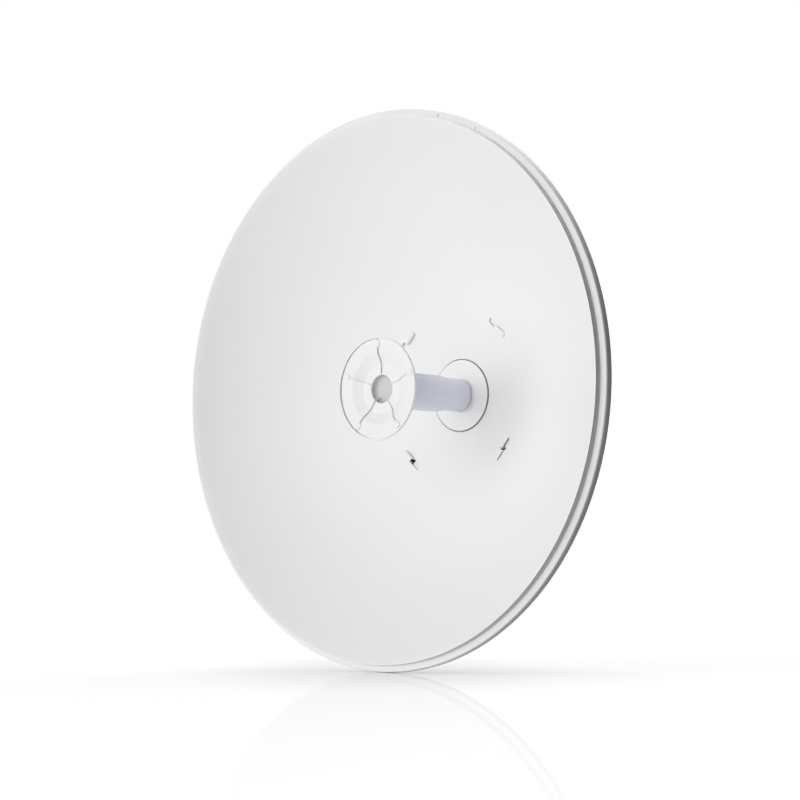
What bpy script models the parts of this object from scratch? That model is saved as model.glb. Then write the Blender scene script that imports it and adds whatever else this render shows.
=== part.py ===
"""A 648 mm parabolic dish antenna: a pressed reflector, a rear-fed splash-plate feed and a plain pole mount.

Metres, +Z up. The dish looks along -Y. The origin lies on the flat rear face of the mount's
bracket, level with the dish's axis, so the whole antenna is in front of the pole that it clamps.
"""

import math

import bmesh
import bpy
from mathutils import Matrix, Vector

MM = 0.001
GAP = 0.3 * MM
EASE = 0.5 * MM

# Reflector: one pressed sheet, a paraboloid with a folded rim
RIM_RADIUS = 324.0 * MM
LIP_RADIUS = 313.8 * MM
FOCAL_LENGTH = 171.0 * MM
VERTEX_Y = -150.0 * MM
SHEET = 1.5 * MM
STEP_DEPTH = 6.5 * MM
SKIRT_DEPTH = 9.2 * MM
CENTRE_HOLE_RADIUS = 30.0 * MM
SEAT_RADIUS = 43.1 * MM
FOLD = 1.0 * MM
UNDERCUT = 1.4 * MM
DISH_STEPS = 72
BOWL_RINGS = 9

# Lances: four pressed bayonet slots round the hub, each half raised and half sunk
LANCE_RADIUS = 101.0 * MM
LANCE_TURN = math.radians(3.4)
LANCE_HALF_LENGTH = 15.5 * MM
LANCE_HALF_WIDTH = 3.4 * MM
LANCE_WALL = 1.0 * MM
HOOD_LOW = 2.0 * MM
HOOD_HIGH = 3.8 * MM
SINK_DEPTH = 3.6 * MM
TROUGH_DEPTH = 2.3 * MM
MOUTH = 3.4 * MM
LANCE_ANGLES = [math.radians(45.0 + 90.0 * quarter) + LANCE_TURN for quarter in range(4)]
LANCE_NAMES = ("upper_right", "upper_left", "lower_left", "lower_right")

# Two drain holes in the rim's flange, near the top
DRAIN_ANGLES = (74.7, 63.8)
DRAIN_RADIUS = 1.4 * MM

# Hub disc and the stepped feed tube in front of it
HUB_DISC_RADIUS = 42.0 * MM
HUB_DISC_FRONT = -154.2 * MM
TUBE_NECK_RADIUS = 17.0 * MM
TUBE_REAR_RADIUS = 19.4 * MM
TUBE_FRONT_RADIUS = 21.7 * MM
TUBE_REAR_FROM = -156.8 * MM
TUBE_REAR_TO = -182.5 * MM
TUBE_FRONT_FROM = -195.5 * MM
TUBE_FRONT_TO = -267.7 * MM

# Splash plate: a back cone, a dished front and a blind hole, with a rim ring, ribs and a plug
PLATE_BACK = -268.0 * MM
PLATE_BACK_RADIUS = 24.5 * MM
PLATE_EDGE_RADIUS = 57.4 * MM
PLATE_EDGE = -294.6 * MM
PLATE_HOLE_RADIUS = 16.5 * MM
PLATE_HOLE_FLOOR = -275.0 * MM
PLATE_RIM_RADIUS = 59.8 * MM
PLATE_RIM_INSIDE = 57.7 * MM
PLATE_RIM_BACK = -296.2 * MM
PLATE_FRONT = -300.0 * MM
PLUG_THICKNESS = 1.7 * MM
# Radius and depth behind the rim's front of each bend in the dished front
PLATE_BENDS = [
    (16.3 * MM, 9.3 * MM),
    (24.0 * MM, 9.3 * MM),
    (28.8 * MM, 9.5 * MM),
    (35.0 * MM, 6.6 * MM),
    (41.0 * MM, 3.4 * MM),
    (50.0 * MM, 2.8 * MM),
    (58.0 * MM, 2.3 * MM),
]
RIB_COUNT = 5
RIB_THICKNESS = 1.0 * MM
RIB_HEIGHT = 2.2 * MM
RIB_LOW_HEIGHT = 0.7 * MM
RIB_INNER = 17.8 * MM
RIB_OUTER = 57.1 * MM
RIB_STEP_FROM = 48.2 * MM
RIB_STEP_TO = 55.0 * MM
PAD_FROM = 47.6 * MM
PAD_TO = 55.6 * MM
PAD_HALF = 3.2 * MM

# Housing of the feed behind the dish, with its cap and two connectors under dust caps
HOUSING_RADIUS = 29.0 * MM
HOUSING_BACK = -95.0 * MM
CAP_RADIUS = 31.0 * MM
CAP_BACK = -89.5 * MM
CONNECTOR_X = 14.0 * MM
CONNECTOR_FLANGE_RADIUS = 9.0 * MM
CONNECTOR_NECK_RADIUS = 6.8 * MM
DUST_CAP_RADIUS = 8.2 * MM
DUST_CAP_FROM = -83.0 * MM
DUST_CAP_BACK = -72.0 * MM

# Mount: hub plate, hooks, cheeks, rear bracket and pole clamp
PLATE_THICKNESS = 3.0 * MM
HUB_PLATE_HALF = 98.0 * MM
HUB_PLATE_CORNER = 12.0 * MM
HUB_PLATE_FRONT = VERTEX_Y + GAP
HUB_PLATE_BACK = HUB_PLATE_FRONT + PLATE_THICKNESS
HUB_PLATE_HOLE = 31.0 * MM
PLATE_BOLT_X = 76.0 * MM
PLATE_BOLT_Z = 34.0 * MM
HOOK_THICKNESS = 3.0 * MM
HOOK_TIP = -164.2 * MM
CHEEK_X = 62.0 * MM
CHEEK_FLANGE_X = 88.0 * MM
CHEEK_BACK = -44.0 * MM
SIDE_BOLT_Y = -80.0 * MM
SIDE_BOLT_Z = 28.0 * MM
SLOT_HALF_SWEEP = math.radians(22.0)
BRACKET_HALF_HEIGHT = 52.0 * MM
BRACKET_TIP = -112.0 * MM
BRACKET_BACK_THICKNESS = 4.0 * MM
POLE_RADIUS = 25.0 * MM
JAW_HALF_ANGLE = math.radians(60.0)
JAW_EAR = 40.0 * MM
JAW_THICKNESS = 5.0 * MM
JAW_HALF_WIDTH = 52.0 * MM
JAW_HALF_HEIGHT = 14.0 * MM
CLAMP_BOLT_X = 42.0 * MM
CLAMP_BOLT_Z = 34.0 * MM
CLAMP_BOLT_END = 58.0 * MM

# Fasteners: M8 shanks, heads, nuts and washers
BOLT_RADIUS = 4.0 * MM
HOLE_RADIUS = 4.5 * MM
HEX_RADIUS = 7.5 * MM
HEAD_HEIGHT = 5.3 * MM
NUT_HEIGHT = 6.5 * MM
WASHER_RADIUS = 8.5 * MM
WASHER_HEIGHT = 1.7 * MM
BITE = 0.2 * MM
ROUND_STEPS = 36
PLATE_STEPS = 48
HOLE_STEPS = 12


def clear_scene():
    """Removes every object that the scene starts with."""
    for thing in list(bpy.data.objects):
        bpy.data.objects.remove(thing, do_unlink=True)


def make_material(name, colour, roughness, metallic):
    """A plain Principled BSDF material."""
    material = bpy.data.materials.new(name)
    material.use_nodes = True
    shader = material.node_tree.nodes["Principled BSDF"]
    shader.inputs["Base Color"].default_value = (*colour, 1.0)
    shader.inputs["Roughness"].default_value = roughness
    shader.inputs["Metallic"].default_value = metallic
    return material


def finish(name, bm, material, smooth_angle=None):
    """Turns a bmesh into an object of the scene, with its faces pointing out."""
    bmesh.ops.recalc_face_normals(bm, faces=bm.faces)
    mesh = bpy.data.meshes.new(name)
    bm.to_mesh(mesh)
    bm.free()
    mesh.materials.append(material)
    if smooth_angle is not None:
        mesh.shade_smooth()
        mesh.set_sharp_from_angle(angle=math.radians(smooth_angle))
    thing = bpy.data.objects.new(name, mesh)
    bpy.context.scene.collection.objects.link(thing)
    return thing


def turned(name, profile, material, steps=ROUND_STEPS, closed=False):
    """Spins a profile of (radius, y) points once round the Y axis."""
    bm = bmesh.new()
    verts = [bm.verts.new((radius, y, 0.0)) for radius, y in profile]
    pairs = list(zip(verts, verts[1:]))
    if closed:
        pairs.append((verts[-1], verts[0]))
    for first, second in pairs:
        bm.edges.new((first, second))
    bmesh.ops.spin(
        bm,
        geom=bm.verts[:] + bm.edges[:],
        cent=(0.0, 0.0, 0.0),
        axis=(0.0, 1.0, 0.0),
        angle=2.0 * math.pi,
        steps=steps,
        use_merge=True,
    )
    bmesh.ops.remove_doubles(bm, verts=bm.verts, dist=1e-6)
    bmesh.ops.dissolve_degenerate(bm, dist=1e-7, edges=bm.edges)
    return finish(name, bm, material, smooth_angle=35)


def prism(name, outline, to_world, low, high, material):
    """Extrudes a flat outline from low to high. to_world gives the point for (a, b, depth)."""
    bm = bmesh.new()
    face = bm.faces.new([bm.verts.new(to_world(a, b, low)) for a, b in outline])
    extruded = bmesh.ops.extrude_face_region(bm, geom=[face])
    shift = Vector(to_world(0.0, 0.0, high)) - Vector(to_world(0.0, 0.0, low))
    moved = [item for item in extruded["geom"] if isinstance(item, bmesh.types.BMVert)]
    bmesh.ops.translate(bm, verts=moved, vec=shift)
    return finish(name, bm, material)


def along_x(a, b, depth):
    """Outline in (y, z), extruded along x."""
    return (depth, a, b)


def along_y(a, b, depth):
    """Outline in (x, z), extruded along y."""
    return (a, depth, b)


def along_z(a, b, depth):
    """Outline in (x, y), extruded along z."""
    return (a, b, depth)


def circle_points(radius, steps, centre=(0.0, 0.0)):
    """Points of a regular outline round a centre."""
    turns = [2.0 * math.pi * i / steps for i in range(steps)]
    return [(centre[0] + radius * math.cos(t), centre[1] + radius * math.sin(t)) for t in turns]


def combine(target, tool, operation):
    """Applies one Boolean to the target and removes the tool."""
    tool.hide_render = True
    tool.display_type = "WIRE"
    step = target.modifiers.new("step", "BOOLEAN")
    step.operation = operation
    step.solver = "EXACT"
    step.object = tool
    graph = bpy.context.evaluated_depsgraph_get()
    result = bpy.data.meshes.new_from_object(target.evaluated_get(graph))
    target.modifiers.clear()
    old = target.data
    target.data = result
    bpy.data.meshes.remove(old)
    bpy.data.objects.remove(tool, do_unlink=True)


# Reflector
def bowl_front(radius):
    """The concave surface's y at a radius."""
    return VERTEX_Y - radius * radius / (4.0 * FOCAL_LENGTH)


def bowl_back(radius):
    """The convex surface's y, one sheet thickness behind along the slope."""
    slope = radius / (2.0 * FOCAL_LENGTH)
    return bowl_front(radius) + SHEET * math.hypot(1.0, slope)


def bowl_radii(first, last):
    """Evenly spaced radii for the rings of the bowl."""
    return [first + (last - first) * i / BOWL_RINGS for i in range(BOWL_RINGS + 1)]


def reflector_profile():
    """The sheet's section, closed: seat, bowl, lip, step, flange, skirt and back."""
    lip_y = bowl_front(LIP_RADIUS)
    flange_y = lip_y + STEP_DEPTH
    edge_y = flange_y + SKIRT_DEPTH
    wall = LIP_RADIUS + SHEET
    seat_front = VERTEX_Y - SHEET
    under_lip = LIP_RADIUS - UNDERCUT
    front = [(CENTRE_HOLE_RADIUS, seat_front), (SEAT_RADIUS, seat_front)]
    front += [(r, bowl_front(r)) for r in bowl_radii(SEAT_RADIUS + EASE, LIP_RADIUS)]
    rim = [
        (wall - 0.4 * FOLD, lip_y - 0.1 * FOLD),
        (wall, lip_y + 0.5 * FOLD),
        (wall, flange_y),
        (RIM_RADIUS - FOLD, flange_y),
        (RIM_RADIUS, flange_y + FOLD),
        (RIM_RADIUS, edge_y),
        (RIM_RADIUS - SHEET, edge_y),
        (RIM_RADIUS - SHEET, flange_y + SHEET),
        (LIP_RADIUS, flange_y + SHEET),
        (LIP_RADIUS, bowl_back(under_lip) - BITE),
    ]
    back = [(r, bowl_back(r)) for r in reversed(bowl_radii(SEAT_RADIUS + SHEET, under_lip))]
    back += [(SEAT_RADIUS - EASE, VERTEX_Y), (CENTRE_HOLE_RADIUS, VERTEX_Y)]
    return front + rim + back


def lance_frame(angle):
    """Maps (tangential, height, radial) offsets at a lance to the world. Height points off the bowl."""
    slope = math.atan(LANCE_RADIUS / (2.0 * FOCAL_LENGTH))
    radial = Vector((math.cos(angle), 0.0, math.sin(angle)))
    tangent = Vector((-math.sin(angle), 0.0, math.cos(angle)))
    forward = Vector((0.0, -1.0, 0.0))
    height = forward * math.cos(slope) - radial * math.sin(slope)
    across = radial * math.cos(slope) + forward * math.sin(slope)
    base = radial * LANCE_RADIUS + Vector((0.0, bowl_front(LANCE_RADIUS), 0.0))

    def to_world(along, up, depth):
        return base + tangent * along + height * up + across * depth

    return to_world


def press_lances(dish, material):
    """Forms the four lances: a raised hood and a sunk trough, then what is hollow in each of them."""
    end = LANCE_HALF_LENGTH
    skin = 0.8 * SHEET
    hood = [
        (-end, -1.1 * MM),
        (-end, HOOD_LOW),
        (-LANCE_WALL, HOOD_HIGH),
        (0.0, HOOD_HIGH - BITE),
        (0.0, -1.1 * MM),
    ]
    trough = [
        (-3.0 * BITE, -2.0 * BITE),
        (end + LANCE_WALL, -2.0 * BITE),
        (end + LANCE_WALL, -SINK_DEPTH),
        (-3.0 * BITE, -SINK_DEPTH),
    ]
    hood_room = [
        (-end + skin, -6.0 * MM),
        (-end + skin, 5.0 * BITE),
        (3.0 * BITE, HOOD_HIGH - skin),
        (3.0 * BITE, -6.0 * MM),
    ]
    trough_room = [
        (2.0 * BITE, 8.0 * BITE),
        (end, 8.0 * BITE),
        (end, -TROUGH_DEPTH),
        (MOUTH, -TROUGH_DEPTH),
        (MOUTH, -6.0 * MM),
        (2.0 * BITE, -6.0 * MM),
    ]
    wide = LANCE_HALF_WIDTH
    steps = [
        ("UNION", hood, wide),
        ("UNION", trough, wide + LANCE_WALL),
        ("DIFFERENCE", hood_room, wide - LANCE_WALL),
        ("DIFFERENCE", trough_room, wide),
    ]
    for angle in LANCE_ANGLES:
        to_world = lance_frame(angle)
        for operation, outline, half in steps:
            combine(dish, prism("lance_tool", outline, to_world, -half, half, material), operation)


def drill_drains(dish, material):
    """Drills the two drain holes through the middle of the flange."""
    flange_y = bowl_front(LIP_RADIUS) + STEP_DEPTH
    middle = 0.5 * (LIP_RADIUS + SHEET + RIM_RADIUS - FOLD)
    for degrees in DRAIN_ANGLES:
        turn = math.radians(degrees)
        centre = (middle * math.cos(turn), middle * math.sin(turn))
        low, high = flange_y - 2.0 * SHEET, flange_y + 3.0 * SHEET
        hole_in(dish, along_y, centre, low, high, material, radius=DRAIN_RADIUS)


def make_reflector(material):
    """The pressed dish with its seat, its rim, four lances and two drain holes."""
    dish = turned("reflector", reflector_profile(), material, steps=DISH_STEPS, closed=True)
    press_lances(dish, material)
    drill_drains(dish, material)
    dish.data.shade_smooth()
    dish.data.set_sharp_from_angle(angle=math.radians(30))
    return dish


# Feed, from the hub forwards
def plate_front_y(radius):
    """The y of the splash plate's dished front at a radius."""
    for (r0, depth0), (r1, depth1) in zip(PLATE_BENDS, PLATE_BENDS[1:]):
        if radius <= r1:
            share = (radius - r0) / (r1 - r0)
            return PLATE_FRONT + depth0 + (depth1 - depth0) * share
    return PLATE_FRONT + PLATE_BENDS[-1][1]


def make_tube(plastic, cool):
    """The hub disc and the stepped tube."""
    disc_back = VERTEX_Y - SHEET - GAP
    disc = [
        (0.0, disc_back),
        (HUB_DISC_RADIUS, disc_back),
        (HUB_DISC_RADIUS, HUB_DISC_FRONT + EASE),
        (HUB_DISC_RADIUS - EASE, HUB_DISC_FRONT),
        (0.0, HUB_DISC_FRONT),
    ]
    turned("hub_disc", disc, plastic)
    foot = HUB_DISC_FRONT - GAP
    tube = [
        (0.0, foot),
        (TUBE_NECK_RADIUS, foot),
        (TUBE_NECK_RADIUS, TUBE_REAR_FROM),
        (TUBE_REAR_RADIUS, TUBE_REAR_FROM),
        (TUBE_REAR_RADIUS, TUBE_REAR_TO),
        (TUBE_FRONT_RADIUS, TUBE_FRONT_FROM),
        (TUBE_FRONT_RADIUS, TUBE_FRONT_TO),
        (0.0, TUBE_FRONT_TO),
    ]
    turned("feed_tube", tube, cool)


def make_splash_plate(plastic, dark):
    """The splash plate with its rim ring, five ribs and the plug in its hole."""
    edge = PLATE_EDGE_RADIUS
    inner = PLATE_HOLE_RADIUS + EASE
    bends = [radius for radius, depth in reversed(PLATE_BENDS) if inner < radius < edge]
    body = [
        (0.0, PLATE_BACK),
        (PLATE_BACK_RADIUS, PLATE_BACK),
        (PLATE_BACK_RADIUS + 4.0 * EASE, PLATE_BACK - 4.0 * EASE),
        (edge - SHEET, PLATE_EDGE + SHEET),
        (edge, PLATE_EDGE),
    ]
    body += [(radius, plate_front_y(radius)) for radius in [edge, *bends, inner]]
    body += [
        (PLATE_HOLE_RADIUS, plate_front_y(inner) + EASE),
        (PLATE_HOLE_RADIUS, PLATE_HOLE_FLOOR),
        (0.0, PLATE_HOLE_FLOOR),
    ]
    turned("splash_plate", body, plastic, steps=PLATE_STEPS)
    ring = [
        (PLATE_RIM_INSIDE, PLATE_RIM_BACK),
        (PLATE_RIM_RADIUS - EASE, PLATE_RIM_BACK),
        (PLATE_RIM_RADIUS, PLATE_RIM_BACK - EASE),
        (PLATE_RIM_RADIUS, PLATE_FRONT + EASE),
        (PLATE_RIM_RADIUS - EASE, PLATE_FRONT),
        (PLATE_RIM_INSIDE + EASE, PLATE_FRONT),
        (PLATE_RIM_INSIDE, PLATE_FRONT + EASE),
    ]
    turned("plate_rim", ring, plastic, steps=PLATE_STEPS, closed=True)
    plug_radius = PLATE_HOLE_RADIUS - GAP
    plug_back = PLATE_HOLE_FLOOR - GAP
    plug = [
        (0.0, plug_back),
        (plug_radius, plug_back),
        (plug_radius, plug_back - PLUG_THICKNESS),
        (0.0, plug_back - PLUG_THICKNESS),
    ]
    turned("centre_plug", plug, dark)
    for number in range(RIB_COUNT):
        make_rib(number, plastic)


def make_rib(number, material):
    """One thin radial fin on the splash plate's front, with a low step on a wider pad next to the rim."""
    bends = [radius for radius, depth in PLATE_BENDS if RIB_INNER < radius < RIB_STEP_FROM]
    step_in = RIB_STEP_FROM - SHEET
    high = [RIB_INNER, *bends, step_in]
    radii = [*high, RIB_STEP_FROM, RIB_STEP_TO, RIB_OUTER]
    foot = [(radius, plate_front_y(radius) - GAP) for radius in radii]
    rises = [RIB_HEIGHT] * len(high) + [RIB_LOW_HEIGHT] * 2
    crest = [(radius, y - rise) for (radius, y), rise in zip(foot, rises)]
    crest.append((RIB_OUTER, PLATE_FRONT + BITE))
    outline = foot + list(reversed(crest))
    half = 0.5 * RIB_THICKNESS
    rib = prism("rib_%d" % (number + 1), outline, along_z, -half, half, material)
    seat = [(radius, plate_front_y(radius) - GAP) for radius in (PAD_FROM, PLATE_BENDS[-2][0], PAD_TO)]
    top = [(radius, y - RIB_LOW_HEIGHT) for radius, y in seat]
    pad = prism("pad", seat + list(reversed(top)), along_z, -PAD_HALF, PAD_HALF, material)
    combine(rib, pad, "UNION")
    turn = math.radians(90.0 + 360.0 / RIB_COUNT * number)
    rib.matrix_world = Matrix.Rotation(-turn, 4, "Y")
    return rib


def make_housing(metal):
    """The feed's round housing behind the dish, with its cap and two capped connectors."""
    front = VERTEX_Y - SHEET
    housing = [
        (0.0, front),
        (HOUSING_RADIUS, front),
        (HOUSING_RADIUS, HOUSING_BACK - 2.0 * EASE),
        (HOUSING_RADIUS - 2.0 * EASE, HOUSING_BACK),
        (0.0, HOUSING_BACK),
    ]
    turned("feed_housing", housing, metal)
    cap_front = HOUSING_BACK + GAP
    cap = [
        (0.0, cap_front),
        (CAP_RADIUS, cap_front),
        (CAP_RADIUS, CAP_BACK - 2.0 * EASE),
        (CAP_RADIUS - 2.0 * EASE, CAP_BACK),
        (0.0, CAP_BACK),
    ]
    turned("housing_cap", cap, metal)
    foot = CAP_BACK + GAP
    flange_back = foot + PLATE_THICKNESS
    connector = [
        (0.0, foot),
        (CONNECTOR_FLANGE_RADIUS, foot),
        (CONNECTOR_FLANGE_RADIUS, flange_back),
        (CONNECTOR_NECK_RADIUS, flange_back),
        (CONNECTOR_NECK_RADIUS, DUST_CAP_FROM),
        (DUST_CAP_RADIUS, DUST_CAP_FROM),
        (DUST_CAP_RADIUS, DUST_CAP_BACK - EASE),
        (DUST_CAP_RADIUS - EASE, DUST_CAP_BACK),
        (0.0, DUST_CAP_BACK),
    ]
    for number, x in enumerate((-CONNECTOR_X, CONNECTOR_X), start=1):
        piece = turned("connector_%d" % number, connector, metal, steps=ROUND_STEPS // 2)
        piece.location = (x, 0.0, 0.0)


# Mount, all behind the dish
def hole_in(target, to_world, centre, low, high, material, radius=HOLE_RADIUS):
    """Drills one round hole through a plate."""
    outline = circle_points(radius, HOLE_STEPS, centre)
    combine(target, prism("drill", outline, to_world, low, high, material), "DIFFERENCE")


def slot_outline(centre, radius, half_sweep, half_width):
    """A curved slot with round ends, as points in an outline's own two axes."""
    sides, ends = 8, 5
    sweep = [-half_sweep + 2.0 * half_sweep * i / sides for i in range(sides + 1)]
    rounds = [math.pi * i / ends for i in range(1, ends)]
    polar = [(t, radius + half_width) for t in sweep]
    for t in rounds:
        reach = half_width / radius * math.sin(t)
        polar.append((half_sweep + reach, radius + half_width * math.cos(t)))
    polar += [(t, radius - half_width) for t in reversed(sweep)]
    for t in rounds:
        reach = half_width / radius * math.sin(t)
        polar.append((-half_sweep - reach, radius - half_width * math.cos(t)))
    return [(centre[0] + r * math.sin(t), centre[1] + r * math.cos(t)) for t, r in polar]


def make_bolt(name, stations, place, material):
    """A bolt with its head, washer and nut as one body, drawn along its own +Y and then placed.

    Each station is (sides, radius, from, to): six sides for a head or nut, more for a shank or washer.
    """
    body = None
    for sides, radius, low, high in stations:
        piece = prism(name, circle_points(radius, sides), along_y, low, high, material)
        if body is None:
            body = piece
        else:
            combine(body, piece, "UNION")
    body.name = name
    body.matrix_world = place
    return body


def make_hub_plate(metal):
    """The square plate behind the dish, with chamfered corners and a hole for the feed's housing."""
    half, cut = HUB_PLATE_HALF, HUB_PLATE_CORNER
    outline = [
        (half, half - cut),
        (half - cut, half),
        (cut - half, half),
        (-half, half - cut),
        (-half, cut - half),
        (cut - half, -half),
        (half - cut, -half),
        (half, cut - half),
    ]
    plate = prism("hub_plate", outline, along_y, HUB_PLATE_FRONT, HUB_PLATE_BACK, metal)
    low, high = HUB_PLATE_FRONT - MM, HUB_PLATE_BACK + MM
    hole = circle_points(HUB_PLATE_HOLE, 32)
    combine(plate, prism("drill", hole, along_y, low, high, metal), "DIFFERENCE")
    for x in (-PLATE_BOLT_X, PLATE_BOLT_X):
        for z in (-PLATE_BOLT_Z, PLATE_BOLT_Z):
            hole_in(plate, along_y, (x, z), low, high, metal)
    return plate


def make_hooks(metal):
    """Four tabs of the hub plate, each reaching into the raised half of a lance."""
    foot = HUB_PLATE_FRONT - GAP
    shoulder = VERTEX_Y - 4.0 * MM
    neck = shoulder - 2.0 * MM
    outline = [
        (-15.0 * MM, foot),
        (-15.0 * MM, shoulder),
        (-13.0 * MM, neck),
        (-13.0 * MM, HOOK_TIP),
        (-6.0 * MM, HOOK_TIP),
        (-6.0 * MM, neck),
        (-4.0 * MM, shoulder),
        (-4.0 * MM, foot),
    ]
    for angle, place in zip(LANCE_ANGLES, LANCE_NAMES):
        radial = Vector((math.cos(angle), 0.0, math.sin(angle)))
        tangent = Vector((-math.sin(angle), 0.0, math.cos(angle)))

        def to_world(a, b, depth, radial=radial, tangent=tangent):
            return tangent * a + Vector((0.0, b, 0.0)) + radial * (LANCE_RADIUS + depth)

        half = 0.5 * HOOK_THICKNESS
        prism("hook_" + place, outline, to_world, -half, half, metal)


def make_cheek(name, side, metal):
    """An L-shaped side plate bolted to the hub plate, with a pivot hole and a curved slot."""
    front = HUB_PLATE_BACK + GAP
    inner, outer = CHEEK_X, CHEEK_X + PLATE_THICKNESS
    outline = [
        (inner, front),
        (CHEEK_FLANGE_X, front),
        (CHEEK_FLANGE_X, front + PLATE_THICKNESS),
        (outer, front + PLATE_THICKNESS),
        (outer, CHEEK_BACK),
        (inner, CHEEK_BACK),
    ]
    outline = [(side * x, y) for x, y in outline]
    half = BRACKET_HALF_HEIGHT
    cheek = prism(name, outline, along_z, -half, half, metal)
    low, high = sorted((side * (inner - MM), side * (outer + MM)))
    pivot = (SIDE_BOLT_Y, -SIDE_BOLT_Z)
    hole_in(cheek, along_x, pivot, low, high, metal)
    slot = slot_outline(pivot, 2.0 * SIDE_BOLT_Z, SLOT_HALF_SWEEP, HOLE_RADIUS)
    combine(cheek, prism("slot", slot, along_x, low, high, metal), "DIFFERENCE")
    for z in (-PLATE_BOLT_Z, PLATE_BOLT_Z):
        centre = (side * PLATE_BOLT_X, z)
        hole_in(cheek, along_y, centre, front - MM, front + PLATE_THICKNESS + MM, metal)
    return cheek


def make_rear_bracket(metal):
    """The U-shaped bracket whose flat rear face, at y = 0, lies against the pole."""
    out = CHEEK_X - GAP
    inside = out - PLATE_THICKNESS
    back = -BRACKET_BACK_THICKNESS
    outline = [
        (-out, BRACKET_TIP),
        (-inside, BRACKET_TIP),
        (-inside, back),
        (inside, back),
        (inside, BRACKET_TIP),
        (out, BRACKET_TIP),
        (out, 0.0),
        (-out, 0.0),
    ]
    half = BRACKET_HALF_HEIGHT
    bracket = prism("rear_bracket", outline, along_z, -half, half, metal)
    for z in (-SIDE_BOLT_Z, SIDE_BOLT_Z):
        hole_in(bracket, along_x, (SIDE_BOLT_Y, z), -out - MM, out + MM, metal)
    for x in (-CLAMP_BOLT_X, CLAMP_BOLT_X):
        for z in (-CLAMP_BOLT_Z, CLAMP_BOLT_Z):
            hole_in(bracket, along_y, (x, z), back - MM, MM, metal)
    return bracket


def make_jaw(name, level, metal):
    """One V-shaped clamp jaw behind the pole."""
    apex = POLE_RADIUS + POLE_RADIUS / math.sin(JAW_HALF_ANGLE)
    reach = (apex - JAW_EAR) * math.tan(JAW_HALF_ANGLE)
    ear_back = JAW_EAR + JAW_THICKNESS
    nose_back = apex + 4.0 * MM
    outline = [
        (-JAW_HALF_WIDTH, JAW_EAR),
        (-reach, JAW_EAR),
        (0.0, apex),
        (reach, JAW_EAR),
        (JAW_HALF_WIDTH, JAW_EAR),
        (JAW_HALF_WIDTH, ear_back),
        (reach + 3.0 * MM, ear_back),
        (7.0 * MM, nose_back),
        (-7.0 * MM, nose_back),
        (-reach - 3.0 * MM, ear_back),
        (-JAW_HALF_WIDTH, ear_back),
    ]
    half = JAW_HALF_HEIGHT
    jaw = prism(name, outline, along_z, level - half, level + half, metal)
    for x in (-CLAMP_BOLT_X, CLAMP_BOLT_X):
        hole_in(jaw, along_y, (x, level), JAW_EAR - MM, ear_back + MM, metal)
    return jaw


def make_plate_bolts(steel):
    """Four bolts through the hub plate and the cheeks' flanges, heads in front."""
    front = HUB_PLATE_FRONT - GAP
    back = HUB_PLATE_BACK + GAP + PLATE_THICKNESS
    stations = [
        (6, HEX_RADIUS, front - HEAD_HEIGHT, front),
        (HOLE_STEPS, BOLT_RADIUS, front - BITE, back + 12.0 * MM),
        (6, HEX_RADIUS, back + GAP, back + GAP + NUT_HEIGHT),
    ]
    for x, hand in ((-PLATE_BOLT_X, "left"), (PLATE_BOLT_X, "right")):
        for z, level in ((-PLATE_BOLT_Z, "lower"), (PLATE_BOLT_Z, "upper")):
            place = Matrix.Translation((x, 0.0, z))
            make_bolt("plate_bolt_%s_%s" % (level, hand), stations, place, steel)


def make_side_bolts(steel):
    """A pivot bolt and a locking bolt on each side, heads outside."""
    outer = CHEEK_X + PLATE_THICKNESS
    inner = CHEEK_X - GAP - PLATE_THICKNESS
    washer_top = outer + GAP + WASHER_HEIGHT
    stations = [
        (6, HEX_RADIUS, washer_top - BITE, washer_top + HEAD_HEIGHT),
        (HOLE_STEPS, WASHER_RADIUS, outer + GAP, washer_top),
        (HOLE_STEPS, BOLT_RADIUS, inner - 14.0 * MM, washer_top),
        (6, HEX_RADIUS, inner - GAP - NUT_HEIGHT, inner - GAP),
    ]
    for side, hand in ((-1, "left"), (1, "right")):
        turn = Matrix.Rotation(-side * math.pi / 2.0, 4, "Z")
        for z, role in ((-SIDE_BOLT_Z, "pivot"), (SIDE_BOLT_Z, "lock")):
            place = Matrix.Translation((0.0, SIDE_BOLT_Y, z)) @ turn
            make_bolt("side_bolt_%s_%s" % (role, hand), stations, place, steel)


def make_clamp_bolts(steel):
    """Four long bolts from inside the bracket through the clamp jaws."""
    head_back = -BRACKET_BACK_THICKNESS - GAP
    washer = JAW_EAR + JAW_THICKNESS + GAP
    washer_top = washer + WASHER_HEIGHT
    stations = [
        (6, HEX_RADIUS, head_back - HEAD_HEIGHT, head_back),
        (HOLE_STEPS, BOLT_RADIUS, head_back - BITE, CLAMP_BOLT_END),
        (HOLE_STEPS, WASHER_RADIUS, washer, washer_top),
        (6, HEX_RADIUS, washer_top - BITE, washer_top + NUT_HEIGHT),
    ]
    for x, hand in ((-CLAMP_BOLT_X, "left"), (CLAMP_BOLT_X, "right")):
        for z, level in ((-CLAMP_BOLT_Z, "lower"), (CLAMP_BOLT_Z, "upper")):
            place = Matrix.Translation((x, 0.0, z))
            make_bolt("clamp_bolt_%s_%s" % (level, hand), stations, place, steel)


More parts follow.
